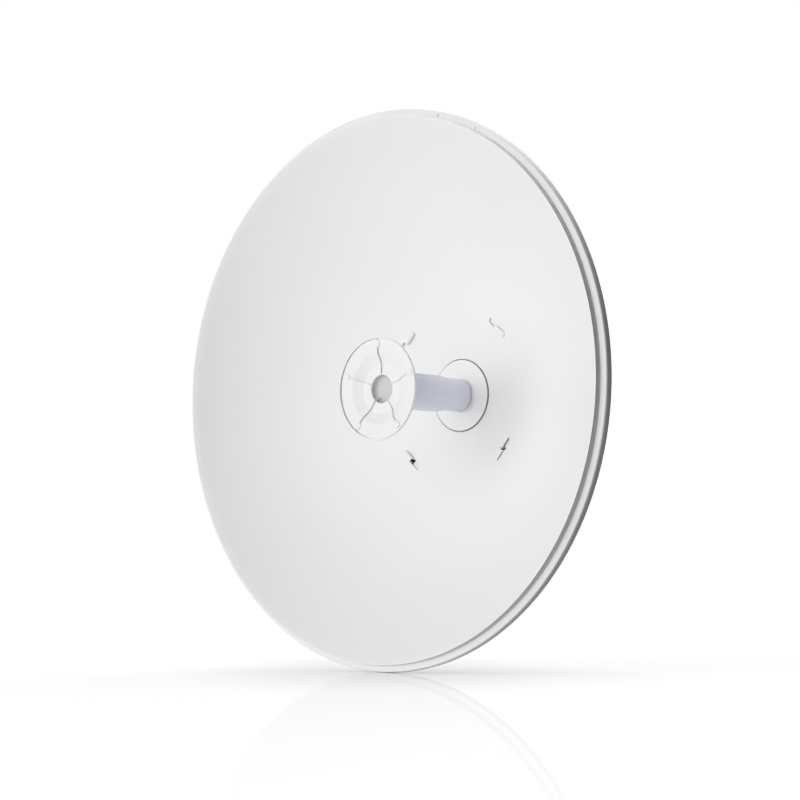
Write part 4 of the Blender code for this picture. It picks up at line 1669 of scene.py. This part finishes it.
@dataclass
class HubPlate:
    """The square plate behind the dish, its four hooks and the four bolts to the cheeks."""

    half: float = 98.0 * MM
    corner: float = 12.0 * MM
    corner_round: float = 4.0 * MM
    hole_radius: float = 31.0 * MM
    hole_steps: int = 72
    bolt_reach: float = 12.0 * MM
    hook_thickness: float = 3.0 * MM
    hook_shoulder: float = -154.0 * MM
    hook_tip: float = -164.2 * MM
    hook_taper: float = 2.0 * MM
    hook_from: float = -15.0 * MM
    hook_to: float = -4.0 * MM
    hook_round: float = 1.0 * MM
    tip_round: float = 2.0 * MM
    hook_nodes: tuple[str, ...] = ("upper_right", "upper_left", "lower_left", "lower_right")

    def plate(self) -> Blank:
        """The plate with its cut corners, centre hole and bolt holes.

        Returns:
            The plate.
        """
        half, cut = self.half, self.corner
        outline = []
        for quarter in range(4):
            turn = Matrix.Rotation(0.5 * math.pi * quarter, 2)
            for point in ((half, half - cut), (half - cut, half)):
                outline.append(Corner(*(turn @ Vector(point)), self.corner_round))
        low, high = PLATE_FRONT, PLATE_FRONT + PLATE_THICKNESS
        blank = Blank.prism(outline, Lying.ALONG_Y, low, high)
        blank.bored(self.hole_radius, Lying.ALONG_Y, (0.0, 0.0), low, high, self.hole_steps)
        blank.bolt_holes(Lying.ALONG_Y, four_places(PLATE_BOLT_X, PLATE_BOLT_Z).values(), low, high)
        return blank.eased(MILD)

    def hook(self, quarter: int) -> Blank:
        """One tab of the plate, which reaches into the raised half of a lance.

        Args:
            quarter: The lance's number.

        Returns:
            The hook.
        """
        foot = PLATE_FRONT - GAP
        neck = self.hook_shoulder - self.hook_taper
        inner_from, inner_to = self.hook_from + self.hook_taper, self.hook_to - self.hook_taper
        outline = [
            Corner(self.hook_from, foot),
            Corner(self.hook_from, self.hook_shoulder, self.hook_round),
            Corner(inner_from, neck, FULL),
            Corner(inner_from, self.hook_tip, self.tip_round),
            Corner(inner_to, self.hook_tip, self.tip_round),
            Corner(inner_to, neck, FULL),
            Corner(self.hook_to, self.hook_shoulder, self.hook_round),
            Corner(self.hook_to, foot),
        ]
        radial, tangent = lance_directions(quarter)
        half = 0.5 * self.hook_thickness
        blank = Blank.prism(outline, axes(tangent, Y, radial, radial * LANCE_RADIUS), -half, half)
        return blank.eased(FINE, 2, REAL_EDGE)

    def bolts(self) -> list[Bolt]:
        """Four bolts through the plate and the cheeks' flanges, heads in front.

        Returns:
            The bolts.
        """
        seat = PLATE_FRONT - GAP
        nut_from = PLATE_FRONT + 2.0 * PLATE_THICKNESS + 2.0 * GAP
        end = nut_from - GAP + self.bolt_reach
        return [
            Bolt(f"plate_bolt_{name}", Matrix.Translation((x, 0.0, z)), seat, nut_from, end)
            for name, (x, z) in four_places(PLATE_BOLT_X, PLATE_BOLT_Z).items()
        ]

    def build(self) -> list[bpy.types.Object]:
        """Cuts and coats the plate and its hooks, and sets the bolts.

        Returns:
            Their pieces.
        """
        pieces = [self.plate().to_piece("hub_plate", BLACK_COAT)]
        for quarter, corner in enumerate(self.hook_nodes):
            pieces.append(self.hook(quarter).to_piece(f"hook_{corner}", BLACK_COAT))
        return pieces + [bolt.build() for bolt in self.bolts()]


@dataclass
class Cheeks:
    """The two bent side plates between the hub plate and the rear bracket, and their bolts."""

    front: float = -150.0 * MM + 2.0 * GAP + PLATE_THICKNESS
    back: float = -44.0 * MM
    thickness: float = 3.0 * MM
    inner_x: float = 62.0 * MM
    flange_x: float = 88.0 * MM
    half_height: float = 52.0 * MM
    bend: float = 4.5 * MM
    back_round: float = 9.0 * MM
    flange_round: float = 7.0 * MM
    slot_radius: float = 56.0 * MM
    slot_half_sweep: float = 22.0
    slot_steps: int = 16
    bolt_reach: float = 14.0 * MM

    def cheek(self, side: int) -> Blank:
        """One side plate: its bend, its rounded corners, a pivot hole, a curved slot and two bolt holes.

        Args:
            side: -1 on the left and 1 on the right.

        Returns:
            The cheek.
        """
        inner, outer = side * self.inner_x, side * (self.inner_x + self.thickness)
        flange_end, flange_back = side * self.flange_x, self.front + self.thickness
        outline = [
            Corner(inner, self.front, self.bend),
            Corner(flange_end, self.front),
            Corner(flange_end, flange_back),
            Corner(outer, flange_back, self.bend - self.thickness),
            Corner(outer, self.back),
            Corner(inner, self.back),
        ]
        height = (-self.half_height, self.half_height)
        blank = Blank.prism(outline, Lying.ALONG_Z, *height, arc=8)
        web = sorted((inner, outer))
        reach = sorted((side * (self.inner_x - CLEAR), side * (self.flange_x + CLEAR)))
        eases = (0.0, self.back_round, self.back_round, 0.0)
        blank.trimmed(oblong((self.front - CLEAR, self.back), height, eases), Lying.ALONG_X, *reach)
        eases = (0.0, self.flange_round, self.flange_round, 0.0)
        from_front = oblong((-flange_end, flange_end), height, eases)
        blank.trimmed(from_front, Lying.ALONG_Y, self.front - CLEAR, self.back + CLEAR)
        blank.bolt_holes(Lying.ALONG_X, [(SIDE_BOLT_Y, -SIDE_BOLT_Z)], *web)
        self.cut_slot(blank, *web)
        centres = [(side * PLATE_BOLT_X, z) for z in (-PLATE_BOLT_Z, PLATE_BOLT_Z)]
        blank.bolt_holes(Lying.ALONG_Y, centres, self.front, flange_back)
        return blank.eased(MILD)

    def cut_slot(self, blank: Blank, low: float, high: float) -> None:
        """Cuts the curved slot round the pivot, with a round hole at each end.

        Args:
            blank: The cheek that it is cut in.
            low: The cheek's lower face.
            high: Its upper face.
        """
        pivot = Vector((0.0, SIDE_BOLT_Y, -SIDE_BOLT_Z))
        near, far = self.slot_radius - HOLE_RADIUS, self.slot_radius + HOLE_RADIUS
        section = oblong((low - CLEAR, high + CLEAR), (near - SIDE_BOLT_Z, far - SIDE_BOLT_Z))
        place = axes(X, Z, Y, (0.0, SIDE_BOLT_Y, 0.0))
        sweep = math.radians(2.0 * self.slot_half_sweep)
        blank.combined(Blank.swept(section, place, pivot, X, sweep, self.slot_steps), Joining.CUT)
        centres = [
            (SIDE_BOLT_Y + self.slot_radius * math.sin(end), self.slot_radius * math.cos(end) - SIDE_BOLT_Z)
            for end in (-0.5 * sweep, 0.5 * sweep)
        ]
        blank.bolt_holes(Lying.ALONG_X, centres, low, high)

    def bolts(self) -> list[Bolt]:
        """A pivot bolt and a locking bolt on each side, heads and washers outside.

        Returns:
            The bolts.
        """
        washer = -(self.inner_x + self.thickness + GAP + WASHER_HEIGHT)
        nut_from = -(self.inner_x - 2.0 * GAP - self.thickness)
        end = -(self.inner_x - GAP - self.thickness - self.bolt_reach)
        made = []
        for side, hand in ((-1, "left"), (1, "right")):
            turn = Matrix.Rotation(side * math.pi / 2.0, 4, "Z")
            for z, role in ((-SIDE_BOLT_Z, "pivot"), (SIDE_BOLT_Z, "lock")):
                place = Matrix.Translation((0.0, SIDE_BOLT_Y, z)) @ turn
                made.append(Bolt(f"side_bolt_{role}_{hand}", place, washer, nut_from, end, (washer,)))
        return made

    def build(self) -> list[bpy.types.Object]:
        """Bends and galvanises both cheeks, and sets their bolts.

        Returns:
            Their pieces.
        """
        pieces = [
            self.cheek(-1).to_piece("cheek_left", GALVANISED),
            self.cheek(1).to_piece("cheek_right", GALVANISED),
        ]
        return pieces + [bolt.build() for bolt in self.bolts()]


@dataclass
class PoleClamp:
    """The U-shaped rear bracket with its flat face at y = 0, and the two jaws that clamp the pole."""

    outer_x: float = 62.0 * MM - GAP
    side_thickness: float = 3.0 * MM
    back_thickness: float = 4.0 * MM
    tip: float = -112.0 * MM
    tip_round: float = 12.0 * MM
    half_height: float = 52.0 * MM
    bend: float = 5.0 * MM
    pole_radius: float = 25.0 * MM
    jaw_half_angle: float = 60.0
    jaw_ear: float = 40.0 * MM
    jaw_thickness: float = 5.0 * MM
    jaw_half_width: float = 52.0 * MM
    jaw_half_height: float = 14.0 * MM
    jaw_nose: float = 4.0 * MM
    nose_half: float = 7.0 * MM
    jaw_fold: float = 3.0 * MM
    inner_fold: float = 1.5 * MM
    ear_round: float = 6.0 * MM
    bolt_x: float = 42.0 * MM
    bolt_z: float = 34.0 * MM
    bolt_end: float = 58.0 * MM

    def bracket(self) -> Blank:
        """The bracket with its two bends, rounded tips and six bolt holes.

        Returns:
            The bracket.
        """
        out, inside = self.outer_x, self.outer_x - self.side_thickness
        back, inner_bend = -self.back_thickness, self.bend - self.side_thickness
        outline = [
            Corner(-out, self.tip),
            Corner(-inside, self.tip),
            Corner(-inside, back, inner_bend),
            Corner(inside, back, inner_bend),
            Corner(inside, self.tip),
            Corner(out, self.tip),
            Corner(out, 0.0, self.bend),
            Corner(-out, 0.0, self.bend),
        ]
        height = (-self.half_height, self.half_height)
        blank = Blank.prism(outline, Lying.ALONG_Z, *height, arc=8)
        from_side = oblong((self.tip, CLEAR), height, (self.tip_round, 0.0, 0.0, self.tip_round))
        blank.trimmed(from_side, Lying.ALONG_X, -out - CLEAR, out + CLEAR)
        centres = [(SIDE_BOLT_Y, z) for z in (-SIDE_BOLT_Z, SIDE_BOLT_Z)]
        blank.bolt_holes(Lying.ALONG_X, centres, -out, out)
        blank.bolt_holes(Lying.ALONG_Y, four_places(self.bolt_x, self.bolt_z).values(), back, 0.0)
        return blank.eased(MILD)

    def jaw(self, level: float) -> Blank:
        """One V-shaped jaw with rounded ears.

        Args:
            level: How high its middle lies.

        Returns:
            The jaw.
        """
        half_angle = math.radians(self.jaw_half_angle)
        apex = self.pole_radius + self.pole_radius / math.sin(half_angle)
        reach = (apex - self.jaw_ear) * math.tan(half_angle)
        ear, wide, fold = self.jaw_ear, self.jaw_half_width, self.jaw_fold
        ear_back, nose_back = ear + self.jaw_thickness, apex + self.jaw_nose
        outline = [
            Corner(-wide, ear),
            Corner(-reach, ear, self.inner_fold),
            Corner(0.0, apex, fold),
            Corner(reach, ear, self.inner_fold),
            Corner(wide, ear),
            Corner(wide, ear_back),
            Corner(reach + fold, ear_back, fold),
            Corner(self.nose_half, nose_back, fold),
            Corner(-self.nose_half, nose_back, fold),
            Corner(-reach - fold, ear_back, fold),
            Corner(-wide, ear_back),
        ]
        height = (level - self.jaw_half_height, level + self.jaw_half_height)
        blank = Blank.prism(outline, Lying.ALONG_Z, *height, arc=6)
        ends = oblong((-wide, wide), height, (self.ear_round,) * 4)
        blank.trimmed(ends, Lying.ALONG_Y, ear - CLEAR, nose_back + CLEAR)
        blank.bolt_holes(Lying.ALONG_Y, [(x, level) for x in (-self.bolt_x, self.bolt_x)], ear, ear_back)
        return blank.eased(SOFT)

    def bolts(self) -> list[Bolt]:
        """Four long bolts from inside the bracket through the jaws.

        Returns:
            The bolts.
        """
        seat = -self.back_thickness - GAP
        washer = self.jaw_ear + self.jaw_thickness + GAP
        nut_from, end = washer + WASHER_HEIGHT, self.bolt_end
        return [
            Bolt(f"clamp_bolt_{name}", Matrix.Translation((x, 0.0, z)), seat, nut_from, end, (washer,))
            for name, (x, z) in four_places(self.bolt_x, self.bolt_z).items()
        ]

    def build(self) -> list[bpy.types.Object]:
        """Bends and galvanises the bracket and the jaws, and sets the bolts.

        Returns:
            Their pieces.
        """
        pieces = [
            self.bracket().to_piece("rear_bracket", GALVANISED),
            self.jaw(self.bolt_z).to_piece("jaw_upper", GALVANISED),
            self.jaw(-self.bolt_z).to_piece("jaw_lower", GALVANISED),
        ]
        return pieces + [bolt.build() for bolt in self.bolts()]


# The studio
@dataclass
class Studio:
    """The pale floor, the soft light, the camera and the picture's tones.

    A light is a direction with its level, and its power says how narrow it is.
    """

    floor_z: float = -324.0 * MM
    floor_radius: float = 60.0
    floor_steps: int = 96
    paper_colour: tuple[float, ...] = (0.45, 0.45, 0.455, 1.0)
    paper_glow: float = 0.68
    mirror_share: float = 0.32
    mirror_reach: float = 3.4
    mirror_roughness: float = 0.02
    # The painted contact shadow on the floor: ambient occlusion dims its glow, and so does a soft painted
    # patch round the foot
    contact_reach: float = 0.24
    contact_power: float = 0.35
    contact_samples: int = 12
    painted_shadow_place: Triple = (-0.068, -0.217, -0.324)
    painted_shadow_depth: float = 0.25
    painted_shadow_axes: tuple[tuple[Triple, float], ...] = (
        ((0.733, 0.681, 0.0), 0.25),
        ((-0.681, 0.733, 0.0), 0.75),
    )
    soft_power: float = 10.0
    key_power: float = 40.0
    soft_lights: tuple[Light, ...] = (
        ((-0.29, 0.27, 0.92), 2.82),
        ((-0.13, -0.98, 0.14), 1.72),
        ((-0.20, 0.74, 0.64), 1.27),
        ((0.39, -0.82, 0.42), 1.09),
        ((-0.40, -0.31, -0.86), 1.04),
        ((-0.70, 0.18, -0.69), 1.00),
        ((0.36, -0.56, -0.75), 0.67),
        ((0.21, -0.93, -0.31), 0.52),
    )
    key_lights: tuple[Light, ...] = (
        ((-0.56, -0.81, 0.17), 2.18),
        ((-0.57, -0.81, -0.14), 1.57),
        ((-0.34, -0.93, 0.17), 1.46),
        ((-0.30, -0.83, 0.47), 1.03),
        ((-0.76, -0.64, -0.14), 0.71),
    )
    fill_towards: Triple = (-0.45, 0.88, 0.15)
    fill_power: float = 6.0
    fill_level: float = 1.8
    backdrop_towards: Triple = (-0.68, 0.73, 0.05)
    backdrop_power: float = 2.0
    backdrop_level: float = 1.0
    camera_place: Triple = (2.034, -2.469, -0.231)
    camera_towards: Triple = (-0.6787, 0.7303, 0.0771)
    camera_reach: float = 200.0
    sensor: float = 36.0
    lens: float = 117.2
    shift: Span = (0.0153, -0.0133)
    all_channels: int = 3
    tones: tuple[Span, ...] = (
        (60.0, 40.0),
        (100.0, 76.0),
        (128.0, 107.0),
        (152.0, 138.0),
        (175.0, 168.0),
        (189.0, 189.0),
        (202.0, 209.0),
        (212.0, 221.0),
        (224.0, 231.5),
        (232.0, 237.0),
        (242.0, 243.5),
    )

    def floor(self) -> None:
        """Lays the floor, a wide disc with a faint mirror and a painted shadow near the antenna."""
        bm = bmesh.new()
        bmesh.ops.create_circle(bm, cap_ends=True, segments=self.floor_steps, radius=self.floor_radius)
        bmesh.ops.translate(bm, verts=bm.verts, vec=(0.0, 0.0, self.floor_z))
        mesh = bpy.data.meshes.new("floor")
        bm.to_mesh(mesh)
        bm.free()
        mesh.materials.append(self.floor_material())
        floor = linked("floor", mesh)
        floor.visible_diffuse = False
        floor.visible_shadow = False

    def shade(self, graph: Graph) -> Value:
        """The painted soft shadow round the antenna's foot, which reaches furthest along the camera's view.

        Args:
            graph: The floor's graph.

        Returns:
            How much of the floor's glow the painted shadow takes away.
        """
        inside = 1.0
        for direction, reach in self.painted_shadow_axes:
            centre = Vector(direction).dot(Vector(self.painted_shadow_place))
            beside = (graph.along(graph.place(), direction) - centre) * (1.0 / reach)
            inside = inside - beside * beside
        return inside.clamped() ** 2.0 * self.painted_shadow_depth

    def floor_material(self) -> bpy.types.Material:
        """White paper under clear gloss, whose mirror image fades away from the antenna, and whose glow
        carries a painted contact shadow.

        Returns:
            The material.
        """
        made = bpy.data.materials.new("studio_floor")
        graph = Graph(made)
        away = graph.value("VectorMath", {"operation": "LENGTH"}, {0: graph.place()}, "Value")
        near = (1.0 - away * (1.0 / self.mirror_reach)).clamped()
        paper = graph.node("BsdfDiffuse", sockets={"Color": self.paper_colour})
        # Painted contact shadow: ambient occlusion and the painted patch dim the floor's glow round the
        # antenna's foot
        reach = {"Distance": self.contact_reach}
        open_sky = graph.value("AmbientOcclusion", {"samples": self.contact_samples}, reach, "AO")
        strength = open_sky**self.contact_power * self.paper_glow - self.shade(graph)
        glow = graph.node("Emission", sockets={"Color": WHITE, "Strength": strength})
        both = graph.node("AddShader", sockets={0: paper.outputs[0], 1: glow.outputs[0]})
        mirror = graph.node("BsdfGlossy", sockets={"Roughness": self.mirror_roughness})
        shares = {0: near * self.mirror_share, 1: both.outputs[0], 2: mirror.outputs[0]}
        mixed = graph.node("MixShader", sockets=shares)
        graph.node("OutputMaterial", sockets={"Surface": mixed.outputs[0]})
        return made

    def sky(self) -> None:
        """Makes the light: glows mostly from the front, a fill from behind, and a white backdrop.

        Gloss mirrors the backdrop's glow in the fill's stead, and the camera sees plain white.
        """
        world = bpy.data.worlds.new("studio_sky")
        bpy.context.scene.world = world
        graph = Graph(world)
        towards = graph.node("TexCoord").outputs["Generated"]

        def glow(direction: Triple, power: float, level: float) -> Value:
            """One soft glow round a direction."""
            return graph.along(towards, tuple(Vector(direction).normalized())).clamped() ** power * level

        lights = [glow(direction, self.soft_power, level) for direction, level in self.soft_lights]
        lights += [glow(direction, self.key_power, level) for direction, level in self.key_lights]
        front = sum(lights)
        fill = glow(self.fill_towards, self.fill_power, self.fill_level)
        backdrop = glow(self.backdrop_towards, self.backdrop_power, self.backdrop_level)
        soft, shiny, white = (
            graph.node("Background", sockets={"Color": WHITE, "Strength": strength}).outputs[0]
            for strength in (front + fill, front + backdrop, 1.0)
        )
        rays = graph.node("LightPath").outputs
        lit = graph.node("MixShader", sockets={0: rays["Is Glossy Ray"], 1: soft, 2: shiny}).outputs[0]
        seen = graph.node("MixShader", sockets={0: rays["Is Camera Ray"], 1: lit, 2: white}).outputs[0]
        graph.node("OutputWorld", sockets={"Surface": seen})

    def camera(self) -> None:
        """Sets the camera at the photograph's place and angle."""
        data = bpy.data.cameras.new("camera")
        data.sensor_width = self.sensor
        data.lens = self.lens
        data.shift_x, data.shift_y = self.shift
        data.clip_end = self.camera_reach
        camera = linked("camera", data)
        camera.location = self.camera_place
        camera.rotation_euler = Vector(self.camera_towards).to_track_quat("-Z", "Y").to_euler()
        bpy.context.scene.camera = camera

    def develop(self) -> None:
        """Sets the picture's tone curve, which deepens the shadows and evens out the light tones."""
        settings = bpy.context.scene.view_settings
        settings.view_transform = "Standard"
        settings.use_curve_mapping = True
        settings.curve_mapping.extend = "HORIZONTAL"
        curve = settings.curve_mapping.curves[self.all_channels]
        for given, shown in self.tones:
            point = curve.points.new(self.light_of(given), self.light_of(shown))
            point.handle_type = "AUTO_CLAMPED"
        settings.curve_mapping.update()

    @staticmethod
    def light_of(tone: float) -> float:
        """The linear light of a screen tone from 0 to 255, by the usual screen curve."""
        return ((tone / 255.0 + 0.055) / 1.055) ** 2.4

    def build(self) -> None:
        """Sets up everything round the antenna."""
        self.develop()
        self.floor()
        self.sky()
        self.camera()


def main() -> None:
    """Builds the antenna and its studio."""
    logging.basicConfig(level=logging.INFO, format="%(message)s")
    Studio().build()
    for part in (Reflector(), FeedTube(), SplashPlate(), FeedHousing(), HubPlate(), Cheeks(), PoleClamp()):
        LOG.info("%s: %d pieces", type(part).__name__, len(part.build()))


if __name__ == "__main__":
    main()
